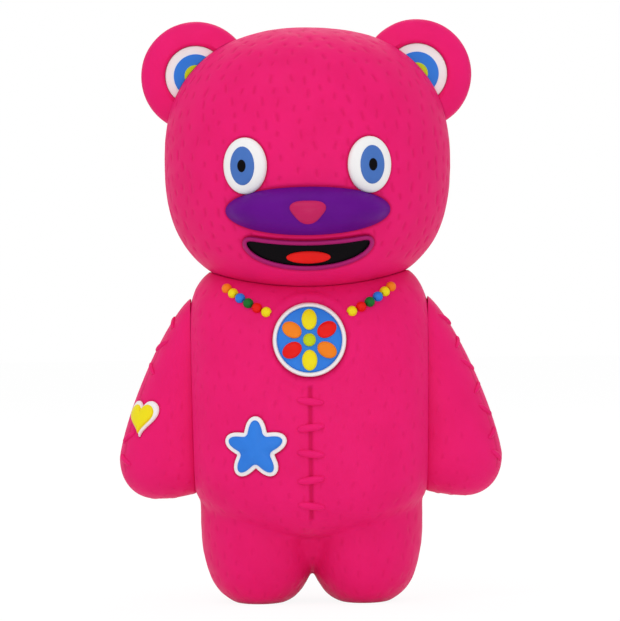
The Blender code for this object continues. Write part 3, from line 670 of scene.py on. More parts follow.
def ellipse(half_width: float, half_height: float, middle: tuple[float, float] = (0.0, 0.0), tilt: float = 0.0,
            count: int = 96) -> Outline:
    """Points of an ellipse, tilted about its own middle."""
    points = []
    for i in range(count):
        turn = 2 * math.pi * i / count
        x, y = half_width * math.cos(turn), half_height * math.sin(turn)
        points.append((middle[0] + x * math.cos(tilt) - y * math.sin(tilt),
                       middle[1] + x * math.sin(tilt) + y * math.cos(tilt)))
    return points


def star(radius: float, inset: float = 0.56, sharpness: float = 1.3, count: int = 160) -> Outline:
    """Points of a soft five-pointed star."""
    points = []
    for i in range(count):
        turn = 2 * math.pi * i / count
        wave = (0.5 + 0.5 * math.cos(5 * turn)) ** sharpness
        reach = radius * (inset + (1.0 - inset) * wave)
        points.append((-reach * math.sin(turn), reach * math.cos(turn)))
    return points


def heart(radius: float, count: int = 120) -> Outline:
    """Points of a heart about 2 radii wide."""
    points = []
    for i in range(count):
        turn = 2 * math.pi * i / count
        x = 16 * math.sin(turn) ** 3
        y = 13 * math.cos(turn) - 5 * math.cos(2 * turn) - 2 * math.cos(3 * turn) - math.cos(4 * turn)
        points.append((-x / 16 * radius, (y + 2) / 16 * radius))
    return points


def half_moon(width: float, height: float, dip: float, count: int = 60) -> Outline:
    """Points of a smile: a shallow upper curve over a deep lower one."""
    lower = [(-width / 2 * math.cos(math.pi * i / count), -height * math.sin(math.pi * i / count))
             for i in range(count + 1)]
    across = [1.0 - 2.0 * i / count for i in range(1, count)]
    return lower + [(width / 2 * x, -dip * height * (1.0 - x * x)) for x in across]


def soft_triangle(width: float, height: float, corners: float = 0.12, count: int = 96) -> Outline:
    """Points of a soft triangle that hangs from its flat side."""
    points = []
    for i in range(count):
        turn = 2 * math.pi * i / count
        reach = 0.5 / (1.0 - corners * math.cos(3 * turn + 3 * math.pi / 2))
        points.append((width * reach * math.cos(turn), height * reach * math.sin(turn)))
    return points


def spread(outline: Outline, by: float) -> Outline:
    """The outline moved outward by this much, or inward where it is negative."""
    moved = []
    for before, here, after in zip(outline[-1:] + outline[:-1], outline, outline[1:] + outline[:1]):
        run = Vector((after[0] - before[0], after[1] - before[1])).normalized()
        moved.append((here[0] + run.y * by, here[1] - run.x * by))
    return moved


def eased(outline: Outline, passes: int) -> Outline:
    """The outline with its corners rounded, a little more with each pass."""
    for _ in range(passes):
        outline = [((before[0] + 2 * here[0] + after[0]) / 4, (before[1] + 2 * here[1] + after[1]) / 4)
                   for before, here, after in zip(outline[-1:] + outline[:-1], outline, outline[1:] + outline[:1])]
    return outline


@dataclass
class Pad:
    """A pillowed piece of any outline that lies on a surface.

    Attributes:
        place: The piece's frame.
        outline: Its edge in the frame's plane, anticlockwise.
        seat: The surface that carries it.
        high: How far its edge's round reaches above the surface.
        low: Where its underside lies, which is negative below the surface.
        crown: How much higher its middle is.
        edge: The power of the round along its edge, where 2 is a dome and more is boxier.
        middle: The point of the plane that the outline is drawn in towards.
        rings: How many rings its top has.
    """

    place: Matrix
    outline: Outline
    seat: Seat
    high: float
    low: float = -0.15 * MM
    crown: float = 0.0
    edge: float = 3.0
    middle: tuple[float, float] = (0.0, 0.0)
    rings: int = 14

    def height(self, share: float) -> float:
        """How far the top is above the surface at this share of the way to the edge."""
        dome = superellipse(share, self.edge)
        return self.low + (self.high - self.low) * dome + self.crown * (1.0 - share * share)

    def top(self, share_of: Callable[[float, float], float]) -> Seat:
        """The pad's own top as a surface for another piece, from the share of the way to the edge at a point."""
        out = self.place.to_3x3() @ UP
        return lambda x, y: self.seat(x, y) + out * self.height(min(1.0, share_of(x, y)))

    def mesh(self) -> bmesh.types.BMesh:
        """The pad as a closed mesh."""
        bm = bmesh.new()
        count = len(self.outline)
        bmesh.ops.create_uvsphere(bm, u_segments=count, v_segments=2 * self.rings, radius=1.0)
        out = self.place.to_3x3() @ UP
        power = 2.0 / self.edge
        for vert in bm.verts:
            flat = math.hypot(vert.co.x, vert.co.y)
            index = round(math.atan2(vert.co.y, vert.co.x) / (2 * math.pi) * count) % count
            share = min(1.0, flat) ** power
            rim = self.outline[index]
            x = self.middle[0] + (rim[0] - self.middle[0]) * share
            y = self.middle[1] + (rim[1] - self.middle[1]) * share
            rise = self.height(share) if vert.co.z > 1e-6 else self.low
            vert.co = self.seat(x, y) + out * rise
        return bm


@dataclass
class Band:
    """A rolled edge that follows a closed outline on a surface.

    Attributes:
        place: The piece's frame.
        outline: The line of its middle in the frame's plane.
        seat: The surface that carries it.
        half_width: Half its width.
        high: How far its top is above the surface.
        low: Where its underside lies.
        steps: How many steps go round its section.
    """

    place: Matrix
    outline: Outline
    seat: Seat
    half_width: float
    high: float
    low: float = -0.15 * MM
    steps: int = 16

    def mesh(self) -> bmesh.types.BMesh:
        """The band as a closed mesh."""
        bm = bmesh.new()
        count = len(self.outline)
        bmesh.ops.create_grid(bm, x_segments=count, y_segments=self.steps, size=1.0)
        out = self.place.to_3x3() @ UP
        inner, outer = spread(self.outline, -self.half_width), spread(self.outline, self.half_width)
        for vert in bm.verts:
            index = round((vert.co.x + 1.0) / 2.0 * count) % count
            turn = (vert.co.y + 1.0) * math.pi
            across = (1.0 + math.copysign(abs(math.cos(turn)) ** 0.8, math.cos(turn))) / 2.0
            x = inner[index][0] + (outer[index][0] - inner[index][0]) * across
            y = inner[index][1] + (outer[index][1] - inner[index][1]) * across
            rise = self.low + (self.high - self.low) * max(0.0, math.sin(turn)) ** 0.8
            vert.co = self.seat(x, y) + out * rise
        bmesh.ops.remove_doubles(bm, verts=bm.verts, dist=1e-7)
        return bm


@dataclass
class StitchRow:
    """A row of short moulded stitches that lie across a seam.

    Attributes:
        seam: The seam's points, one for each stitch, with the surface's normal and the stitch's way at each.
        half_length: Half a stitch's length.
        half_width: Half its width.
        high: How far it stands above the surface.
        seat: Finds the surface point and normal at a distance along a stitch, from a seam point.
    """

    seam: list[tuple[Vector, Vector, Vector]]
    half_length: float
    half_width: float
    high: float
    seat: Callable[[Vector, Vector], tuple[Vector, Vector]]

    def mesh(self) -> bmesh.types.BMesh:
        """The stitches as closed capsules in one mesh."""
        whole = bmesh.new()
        for place, normal, way in self.seam:
            bm = even_ball(9)
            across = way.cross(normal)
            for vert in bm.verts:
                along = math.copysign(abs(vert.co.x) ** 0.7, vert.co.x) * self.half_length
                lift = vert.co.z * self.high + 0.1 * self.high
                ground, out = self.seat(place + way * along, normal)
                vert.co = ground + across * (vert.co.y * self.half_width) + out * lift
            made = bpy.data.meshes.new("stitch")
            bm.to_mesh(made)
            bm.free()
            whole.from_mesh(made)
            bpy.data.meshes.remove(made)
        return whole


def spun(profile: list[tuple[float, float]], place: Matrix, steps: int = 96) -> bmesh.types.BMesh:
    """Turns a profile about a frame's Z.

    Args:
        profile: Points as radius and height, from the axis out and back to the axis.
        place: The frame.
        steps: How many steps the turn has.

    Returns:
        The closed mesh.
    """
    bm = bmesh.new()
    verts = [bm.verts.new((radius, 0, height)) for radius, height in profile]
    edges = [bm.edges.new(pair) for pair in zip(verts, verts[1:])]
    bmesh.ops.spin(bm, geom=verts + edges, cent=(0, 0, 0), axis=(0, 0, 1), angle=2 * math.pi, steps=steps,
                   use_merge=True, use_duplicate=False)
    bmesh.ops.remove_doubles(bm, verts=bm.verts, dist=1e-7)
    bmesh.ops.transform(bm, matrix=place, verts=bm.verts)
    return bm


def rounded(radius: float, low: float, high: float, fillet: float, steps: int = 6) -> list[tuple[float, float]]:
    """The profile of a round plug with a filleted top edge, from its base's middle to its top's middle."""
    arc = [(radius - fillet + fillet * math.cos(i * math.pi / 2 / steps),
            high - fillet + fillet * math.sin(i * math.pi / 2 / steps)) for i in range(steps + 1)]
    return [(0.0, low), (radius, low), *arc, (0.0, high)]


@dataclass
class HeadCasting:
    """The head: a fur-engraved vinyl casting with a round socket for the neck.

    Attributes:
        form: Its outer form.
        socket_radius: The neck socket's radius.
        socket_depth: How deep the socket goes.
        cuts: How fine its mesh is.
        fur: The engraved strokes.
        moat_radius: How far the groove round a trim piece reaches.
        moat_depth: How deep that groove is.
        seat: The share of the drop below which it is plain, to turn in the body's dish.
    """

    form: Ovoid
    socket_radius: float = 13.6 * MM
    socket_depth: float = 7.6 * MM
    cuts: int = 119
    # The fifth value is the painted shade in the strokes' grooves.
    fur: FurStrokes = FurStrokes(4.5 * MM, (2.2 * MM, 4.4 * MM), 0.95 * MM, 0.38 * MM, 0.42,
                                 math.radians(20.0), 11)
    moat_radius: float = 1.0 * MM
    moat_depth: float = 0.45 * MM
    seat: float = 0.83

    def build(self, trims: list[list[Vector]], under: Callable[[Vector], bool]) -> None:
        """Makes the casting.

        Args:
            trims: The edges of the pieces that lie on it, as closed lines of surface points.
            under: Says whether a point is covered by one of those pieces.
        """
        bm = self.form.mesh(self.cuts)
        relief = Relief(bm)
        base = self.form.centre.z - 0.72 * self.form.drop
        # Painted shade darkens the fur strokes' grooves.
        relief.fur(self.fur, lambda place, normal: place.z > base and not under(place))
        relief.ripple(16.0 * MM, 0.18 * MM, 3.0)
        relief.ripple(4.0 * MM, 0.05 * MM, 7.0)
        seat = self.form.centre.z - self.seat * self.form.drop
        for index, place in enumerate(relief.places):
            relief.heights[index] *= smooth_step((place.z - seat) / (3 * MM))
        # Painted shade darkens the groove round each face piece fully.
        for trim in trims:
            relief.line(trim + trim[:1], self.moat_radius, -self.moat_depth, 1.0)
        relief.apply()
        self._open_socket(bm)
        add_piece(bm, "head_casting", Body.HEAD, Finishes.PINK, "head_shell")

    def _open_socket(self, bm: bmesh.types.BMesh) -> None:
        """Sinks the underside round the axis to take the neck."""
        middle = self.form.centre
        ledge = 0.5 * MM
        for vert in bm.verts:
            flat = Vector((vert.co.x - middle.x, vert.co.y - middle.y))
            if vert.co.z > middle.z or flat.length > self.socket_radius + ledge:
                continue
            if flat.length > self.socket_radius - ledge:
                flat = flat.normalized() * self.socket_radius
                vert.co.x, vert.co.y = middle.x + flat.x, middle.y + flat.y
            else:
                vert.co.z = middle.z - self.form.drop + self.socket_depth


@dataclass
class Ear:
    """An ear: a round pad that flares into the head, with three nested inlays in its dished front.

    Attributes:
        side: Which ear.
        head: The head's form.
        angle: Its middle's direction from the head's middle, seen from the front.
        inset: How far its middle lies inside the head's outline.
        back: How far it is set back.
        radius: Its radius.
        thickness: Its thickness.
        roundness: The power of its section.
        dish: How far the inlays lie below its front.
        recess: The radius of the inlays' recess.
        flare: How much thicker it becomes where it meets the head.
        flare_reach: How far from the head the flare starts.
    """

    side: Side
    head: Ovoid
    angle: float = math.radians(37.466)
    inset: float = 2.14 * MM
    back: float = 5.0 * MM
    radius: float = 18.9 * MM
    thickness: float = 15.0 * MM
    roundness: float = 2.6
    dish: float = 2.0 * MM
    recess: float = 10.5 * MM
    flare: float = 0.16
    flare_reach: float = 5.0 * MM

    @property
    def place(self) -> Matrix:
        """The ear's frame, facing the front."""
        outward = Vector((self.side.value * math.cos(self.angle), 0, math.sin(self.angle)))
        low, high = 0.0, self.head.half_width + self.head.rise
        for _ in range(40):
            middle = (low + high) / 2
            low, high = (middle, high) if self.head.inside(self.head.centre + outward * middle) else (low, middle)
        return facing(self.head.centre + outward * (low - self.inset) + Vector((0, self.back, 0)), FORWARD)

    def near_head(self, point: Vector) -> float:
        """Runs from 0 at the flare's start to 1 where the ear meets the head."""
        steps = 10
        for i in range(steps, -1, -1):
            if not self.head.grown(self.flare_reach * i / steps).inside(point):
                return 1.0 - min(1.0, (i + 1) / steps)
        return 1.0

    def build(self) -> None:
        """Makes the ear and its inlays."""
        place = self.place
        front = self.thickness / 2
        floor = front - self.dish - 1.2 * MM
        rim = []
        steps = 44
        for i in range(steps + 1):
            turn = math.pi * (i / steps - 0.5)
            reach = max(0.0, math.cos(turn)) ** (2 / self.roundness)
            height = math.copysign(abs(math.sin(turn)) ** (2 / self.roundness), turn)
            rim.append((self.radius * reach, front * height))
        lip = self.recess + 1.1 * MM
        rim = [(0.0, -front)] + [spot for spot in rim[1:] if spot[0] > lip or spot[1] < 0]
        edge = rim[-1][1]
        fillet = [(self.recess + (lip - self.recess) * (1 - math.sin(t)), edge - 1.1 * MM * (1 - math.cos(t)))
                  for t in (0.3, 0.6, 0.9, 1.2, math.pi / 2)]
        bm = spun(rim + fillet + [(self.recess, floor), (0.0, floor)], place, 144)
        inverse = place.inverted()
        for vert in bm.verts:
            here = inverse @ vert.co
            if math.hypot(here.x, here.y) < lip:
                continue
            grow = 1.0 + self.flare * self.near_head(vert.co) ** 2
            vert.co = place @ Vector((here.x, here.y, here.z * grow))
        relief = Relief(carved(bm, self.head.grown(0.03 * MM).mesh(48)))
        relief.ripple(9.0 * MM, 0.12 * MM, 5.0 + self.side.value)
        name = self.side.word
        add_piece(relief.apply(), f"{name}_ear_pad", Body.HEAD, Finishes.PINK, f"{name}_ear")
        top = front - self.dish
        rows = (("disc", self.recess - 0.15 * MM, 0.0, Finishes.WHITE), ("ring", 7.5 * MM, 0.35 * MM, Finishes.BLUE),
                ("button", 3.8 * MM, 0.7 * MM, Finishes.LIME))
        level = floor
        for part, radius, lift, finish in rows:
            inlay = spun(rounded(radius, level, top + lift, 0.25 * MM), place)
            add_piece(carved(inlay, self.head.grown(0.05 * MM).mesh(40)), f"{name}_ear_{part}_inlay", Body.HEAD,
                      finish, f"{name}_ear_{part}")
            level = top + lift - 0.15 * MM


@dataclass
class Eye:
    """An eye: a white dome with a raised iris and pupil.

    Attributes:
        side: Which eye.
        head: The head's form.
        spacing: The distance between the eyes.
        up: How far it is above the head's equator.
        half_width: Half its width.
        half_height: Half its height.
        proud: How far it stands out.
        iris: Half the iris's width and height.
        pupil: Half the pupil's width and height.
    """

    side: Side
    head: Ovoid
    spacing: float = 42.0 * MM
    up: float = -2.4 * MM
    half_width: float = 7.8 * MM
    half_height: float = 9.5 * MM
    proud: float = 2.4 * MM
    iris: tuple[float, float] = (4.4 * MM, 6.5 * MM)
    pupil: tuple[float, float] = (1.5 * MM, 2.1 * MM)

    @property
    def place(self) -> Matrix:
        """The eye's frame on the head."""
        return self.head.front_frame(self.side.value * self.spacing / 2, self.head.centre.z + self.up)

    def edge(self) -> list[Vector]:
        """The line where it meets the head."""
        seat = seat_on(self.head, self.place)
        return [seat(x, y) for x, y in ellipse(self.half_width, self.half_height)]

    def build(self) -> None:
        """Makes the white, the iris and the pupil."""
        place, name = self.place, self.side.word
        white = Pad(place, ellipse(self.half_width, self.half_height), seat_on(self.head, place), self.proud,
                    edge=2.8, rings=20)
        add_piece(white.mesh(), f"{name}_eye_dome", Body.HEAD, Finishes.WHITE, f"{name}_eye_white")
        on_white = white.top(lambda x, y: math.hypot(x / self.half_width, y / self.half_height))
        iris = Pad(place, ellipse(*self.iris), on_white, 0.30 * MM, low=-0.12 * MM, edge=5.0)
        add_piece(iris.mesh(), f"{name}_iris_dome", Body.HEAD, Finishes.IRIS, f"{name}_iris")
        on_iris = iris.top(lambda x, y: math.hypot(x / self.iris[0], y / self.iris[1]))
        pupil = Pad(place, ellipse(*self.pupil), on_iris, 0.28 * MM, low=-0.12 * MM, edge=4.0)
        add_piece(pupil.mesh(), f"{name}_pupil_dome", Body.HEAD, Finishes.BLACK, f"{name}_pupil")


@dataclass
class Muzzle:
    """The muzzle: an oval swelling on the face, with a nose on it and a smile below it.

    Attributes:
        head: The head's form.
        half_width: Half the width of the form that swells out of the head.
        half_height: Half its height.
        proud: How far it stands out of the head.
        sink: How far its middle is inside the head.
        down: How far it is below the head's equator.
        roundness: The power of its section.
        lip: The height of the round along its edge.
        nose_width: The nose's width.
        nose_height: The nose's height.
        nose_up: How far the nose is above the muzzle's middle.
        nose_proud: How far the nose stands out of the muzzle.
    """

    head: Ovoid
    half_width: float = 28.7 * MM
    half_height: float = 9.7 * MM
    proud: float = 6.0 * MM
    sink: float = 20.0 * MM
    down: float = 17.2 * MM
    roundness: float = 3.0
    lip: float = 0.5 * MM
    nose_width: float = 11.6 * MM
    nose_height: float = 7.8 * MM
    nose_up: float = -0.6 * MM
    nose_proud: float = 1.4 * MM

    @property
    def place(self) -> Matrix:
        """The muzzle's frame on the head, facing the front."""
        return facing(self.head.front(0, self.head.centre.z - self.down), FORWARD)

    def swell(self, x: float, y: float) -> float:
        """How far the muzzle's form is before the head at a point of its frame's plane."""
        place = self.place.translation
        reach = math.hypot(x / self.half_width, y / self.half_height)
        depth = (self.sink + self.proud) * superellipse(reach, self.roundness) - self.sink
        return self.head.front(x, place.z + y).y - (place.y - depth) if reach < 1.0 else -self.sink

    def outline(self, count: int = 144) -> Outline:
        """The line where the form meets the head, in its frame's plane."""
        points = []
        for i in range(count):
            turn = 2 * math.pi * i / count
            way = (self.half_width * math.cos(turn), self.half_height * math.sin(turn))
            low, high = 0.0, 1.0
            for _ in range(30):
                middle = (low + high) / 2
                low, high = (middle, high) if self.swell(way[0] * middle, way[1] * middle) > 0 else (low, middle)
            points.append((way[0] * low, way[1] * low))
        return points

    def top(self, x: float, y: float) -> Vector:
        """The muzzle's surface at a point of its frame's plane, away from its edge."""
        return self.head.front(x, self.place.translation.z + y) + FORWARD * (max(0.0, self.swell(x, y)) + self.lip)

    def edge(self) -> list[Vector]:
        """The line where it meets the head."""
        base = self.place.translation.z
        return [self.head.front(x, base + y) for x, y in self.outline()]

    def build(self) -> None:
        """Makes the muzzle and the nose."""
        place = self.place
        base = place.translation.z

        def swollen(x: float, y: float) -> Vector:
            return self.head.front(x, base + y) + FORWARD * max(0.0, self.swell(x, y))

        pad = Pad(place, self.outline(), swollen, self.lip, edge=3.0, rings=40)
        bm = pad.mesh()
        add_piece(bm, "muzzle_pad", Body.HEAD, Finishes.PURPLE, "muzzle")
        nose_place = place @ Matrix.Translation((0, self.nose_up, 0))
        nose = Pad(nose_place, soft_triangle(self.nose_width, self.nose_height),
                   lambda x, y: self.top(x, y + self.nose_up), self.nose_proud, crown=0.5 * MM, edge=2.4)
        add_piece(nose.mesh(), "nose_pad", Body.HEAD, Finishes.ROSE, "nose")


@dataclass
class Mouth:
    """The smile: a rolled lip round a dark mouth, with a tongue.

    Attributes:
        head: The head's form.
        width: The mouth's width.
        height: Its height.
        dip: How far its upper edge dips, as a share of the height.
        down: How far it is below the head's equator.
        lip_width: The lip's width.
        lip_proud: How far the lip stands out.
        tongue_width: The tongue's width.
        tongue_height: The tongue's height.
    """

    head: Ovoid
    width: float = 42.0 * MM
    height: float = 8.8 * MM
    dip: float = 0.22
    down: float = 27.4 * MM
    lip_width: float = 1.6 * MM
    lip_proud: float = 1.4 * MM
    tongue_width: float = 15.0 * MM
    tongue_height: float = 4.2 * MM

    @property
    def place(self) -> Matrix:
        """The mouth's frame on the head, facing the front."""
        return facing(self.head.front(0, self.head.centre.z - self.down), FORWARD)

    def edge(self) -> list[Vector]:
        """The line where the lip meets the head."""
        base = self.place.translation.z
        outline = eased(spread(eased(half_moon(self.width, self.height, self.dip), 3), self.lip_width), 3)
        return [self.head.front(x, base + y) for x, y in outline]

    def build(self) -> None:
        """Makes the lip, the mouth and the tongue."""
        place = self.place
        base = place.translation.z

        def on_head(x: float, y: float) -> Vector:
            return self.head.front(x, base + y)

        outline = eased(half_moon(self.width, self.height, self.dip), 3)
        lip = Band(place, eased(spread(outline, self.lip_width / 2), 3), on_head, self.lip_width / 2, self.lip_proud)
        add_piece(lip.mesh(), "lip_roll", Body.HEAD, Finishes.MAGENTA, "lip")
        middle = (0.0, -0.55 * self.height)
        floor = Pad(place, spread(outline, 0.1 * MM), on_head, 0.4 * MM, edge=6.0, middle=middle)
        add_piece(floor.mesh(), "mouth_floor", Body.HEAD, Finishes.BLACK, "mouth")
        spot = (0.0, self.lip_width / 2 - self.height + self.tongue_height / 2)
        tongue = Pad(place, ellipse(self.tongue_width / 2, self.tongue_height / 2, spot),
                     on_head, 1.3 * MM, low=0.2 * MM, edge=2.2, middle=spot)
        add_piece(tongue.mesh(), "tongue_pad", Body.HEAD, Finishes.RED, "tongue")


@dataclass
class Shoulder:
    """Where an arm turns on the body.

    Attributes:
        side: Which shoulder.
        pivot: The middle of the arm's flat face on the joint's axis.
        splay: How far the axis tips up.
        gap: The gap between the arm's face and the body's flat.
        peg_radius: The arm's peg's radius.
        peg_length: How far the peg goes into the body.
    """

    side: Side
    pivot: Vector
    splay: float = math.radians(-1.0)
    gap: float = 0.05 * MM
    peg_radius: float = 6.3 * MM
    peg_length: float = 4.6 * MM

    @property
    def place(self) -> Matrix:
        """The shoulder's frame: Z out along the joint's axis, Y up the arm."""
        outward = Vector((self.side.value * math.cos(self.splay), 0, math.sin(self.splay)))
        return facing(self.pivot, outward)

    @property
    def body(self) -> Body:
        """The arm's CAD body."""
        return Body.LEFT_ARM if self.side is Side.LEFT else Body.RIGHT_ARM


@dataclass
class BodyCasting:
    """The body: belly, hips and legs fused in one casting, flat where the arms turn and dished for the head.

    Attributes:
        forms: The forms that are fused.
        dish: The form that the head's seat is hollowed to.
        shoulders: Where the arms turn.
        voxel: How fine the fused mesh is.
        softening: How many smoothing passes ease the creases.
        fur: The engraved strokes.
        neck_radius: The neck post's radius.
        neck_height: How far the post stands above the dish.
        seam: The levels where the belly's seam starts and ends.
    """

    forms: list[Ovoid]
    dish: Ovoid
    shoulders: list[Shoulder]
    voxel: float = 0.72 * MM
    softening: int = 9
    # The fifth value is the painted shade in the strokes' grooves.
    fur: FurStrokes = FurStrokes(4.6 * MM, (1.8 * MM, 3.6 * MM), 0.90 * MM, 0.24 * MM, 0.26,
                                 math.radians(24.0), 23)
    neck_radius: float = 13.0 * MM
    neck_height: float = 6.6 * MM
    seam: tuple[float, float] = (74.0 * MM, 30.0 * MM)

    @property
    def belly(self) -> Ovoid:
        """The belly's form, which carries the trim."""
        return self.forms[0]

    def fused(self) -> bmesh.types.BMesh:
        """The forms fused into one even, softened mesh."""
        whole = bmesh.new()
        for form in self.forms:
            part = form.mesh(36)
            mesh = bpy.data.meshes.new("form")
            part.to_mesh(mesh)
            part.free()
            whole.from_mesh(mesh)
            bpy.data.meshes.remove(mesh)
        lump = scratch_object(whole, "forms")
        fuse = lump.modifiers.new("fuse", "REMESH")
        fuse.mode = "VOXEL"
        fuse.voxel_size = self.voxel
        bm = baked(lump)
        self._soften(bm, self.softening)
        self._seat_neighbours(bm)
        self._soften(bm, 1)
        self._seat_neighbours(bm)
        return bm

    @staticmethod
    def _soften(bm: bmesh.types.BMesh, passes: int) -> None:
        """Smooths every point this many times."""
        for _ in range(passes):
            bmesh.ops.smooth_vert(bm, verts=bm.verts, factor=0.5, use_axis_x=True, use_axis_y=True, use_axis_z=True)

    def _seat_neighbours(self, bm: bmesh.types.BMesh) -> None:
        """Presses the soles, the arms' flats and the head's dish into the mesh."""
        flats = [(shoulder.pivot, shoulder.place.to_3x3() @ UP, shoulder.gap) for shoulder in self.shoulders]
        for vert in bm.verts:
            vert.co.z = max(0.0, vert.co.z)
            for pivot, outward, gap in flats:
                over = (vert.co - pivot).dot(outward) + gap
                if over > 0:
                    vert.co -= outward * over
            if self.dish.inside(vert.co):
                flat = math.hypot(vert.co.x - self.dish.centre.x, vert.co.y - self.dish.centre.y)
                vert.co.z = self.dish.base_level(flat)

    def _looseness(self, place: Vector) -> float:
        """Runs from 0 on the soles, the arms' flats and the head's dish to 1 away from them."""
        away = [place.z]
        for shoulder in self.shoulders:
            away.append(-(place - shoulder.pivot).dot(shoulder.place.to_3x3() @ UP) - shoulder.gap)
        flat = math.hypot(place.x - self.dish.centre.x, place.y - self.dish.centre.y)
        away.append(self.dish.base_level(flat) - place.z)
        return smooth_step((min(away) - 0.1 * MM) / (1.2 * MM))

    def _open_pockets(self, bm: bmesh.types.BMesh) -> None:
        """Sinks the flats round the joints' axes to take the arms' pegs."""
        for shoulder in self.shoulders:
            outward = shoulder.place.to_3x3() @ UP
            for vert in bm.verts:
                away = vert.co - shoulder.pivot
                depth = away.dot(outward)
                if abs(depth) < 2 * MM and (away - outward * depth).length < shoulder.peg_radius + 0.7 * MM:
                    vert.co -= outward * (shoulder.peg_length + 1.2 * MM)

    def build(self, trims: list[list[Vector]], under: Callable[[Vector], bool], ridge: list[Vector]) -> None:
        """Makes the casting, the neck post and the belly's stitches.

        Args:
            trims: The edges of the pieces that lie on the body.
            under: Says whether a point is covered by one of those pieces.
            ridge: The line of the soft ridge round the pendant.
        """
        bm = self.fused()
        relief = Relief(bm)
        top = self.dish.base_level(0.0) + 2 * MM

        def open_skin(place: Vector, normal: Vector) -> bool:
            return 3 * MM < place.z < top and abs(normal.x) < 0.9 and not under(place)

        # Painted shade darkens the fur strokes' grooves.
        relief.fur(self.fur, open_skin)
        relief.line(ridge + ridge[:1], 2.2 * MM, 0.45 * MM)
        # Painted shade darkens the groove round each trim piece fully.
        for trim in trims:
            relief.line(trim + trim[:1], 0.9 * MM, -0.4 * MM, 1.0)
        # Painted shade darkens the belly's seam groove.
        levels = [self.seam[0] + (self.seam[1] - self.seam[0]) * i / 60 for i in range(61)]
        relief.line([self.belly.front(0, z) for z in levels], 1.2 * MM, -0.7 * MM, 0.9)
        relief.ripple(12.0 * MM, 0.22 * MM, 2.0)
        relief.ripple(3.2 * MM, 0.09 * MM, 9.0)
        for index, place in enumerate(relief.places):
            relief.heights[index] *= self._looseness(place)
        relief.apply()
        self._open_pockets(bm)
        add_piece(bm, "body_casting", Body.TRUNK, Finishes.PINK, "body_shell")
        self._build_neck()
        self._build_stitches()

    def _build_neck(self) -> None:
        """Makes the post that the head turns on."""
        floor = self.dish.base_level(0.0)
        place = Matrix.Translation((self.dish.centre.x, self.dish.centre.y, 0))
        post = rounded(self.neck_radius, floor - 1.5 * MM, floor + self.neck_height, 1.2 * MM)
        add_piece(spun(post, place), "neck_post", Body.TRUNK, Finishes.PINK)

    def _build_stitches(self) -> None:
        """Makes the stitches across the belly's seam."""
        count = 5
        seam = []
        for i in range(count):
            z = self.seam[0] + (self.seam[1] - self.seam[0]) * (i + 0.5) / count
            place = self.belly.front_frame(0, z)
            way = place.to_3x3() @ Matrix.Rotation(math.radians(-7 + 14 * (i % 2)), 3, "Z") @ Vector((1, 0, 0))
            seam.append((place.translation, place.to_3x3() @ UP, way))

        def seat(point: Vector, normal: Vector) -> tuple[Vector, Vector]:
            place = self.belly.front_frame(point.x, point.z)
            return place.translation, place.to_3x3() @ UP

        row = StitchRow(seam, 4.6 * MM, 1.3 * MM, 1.1 * MM, seat)
        add_piece(row.mesh(), "belly_stitches", Body.TRUNK, Finishes.PINK)


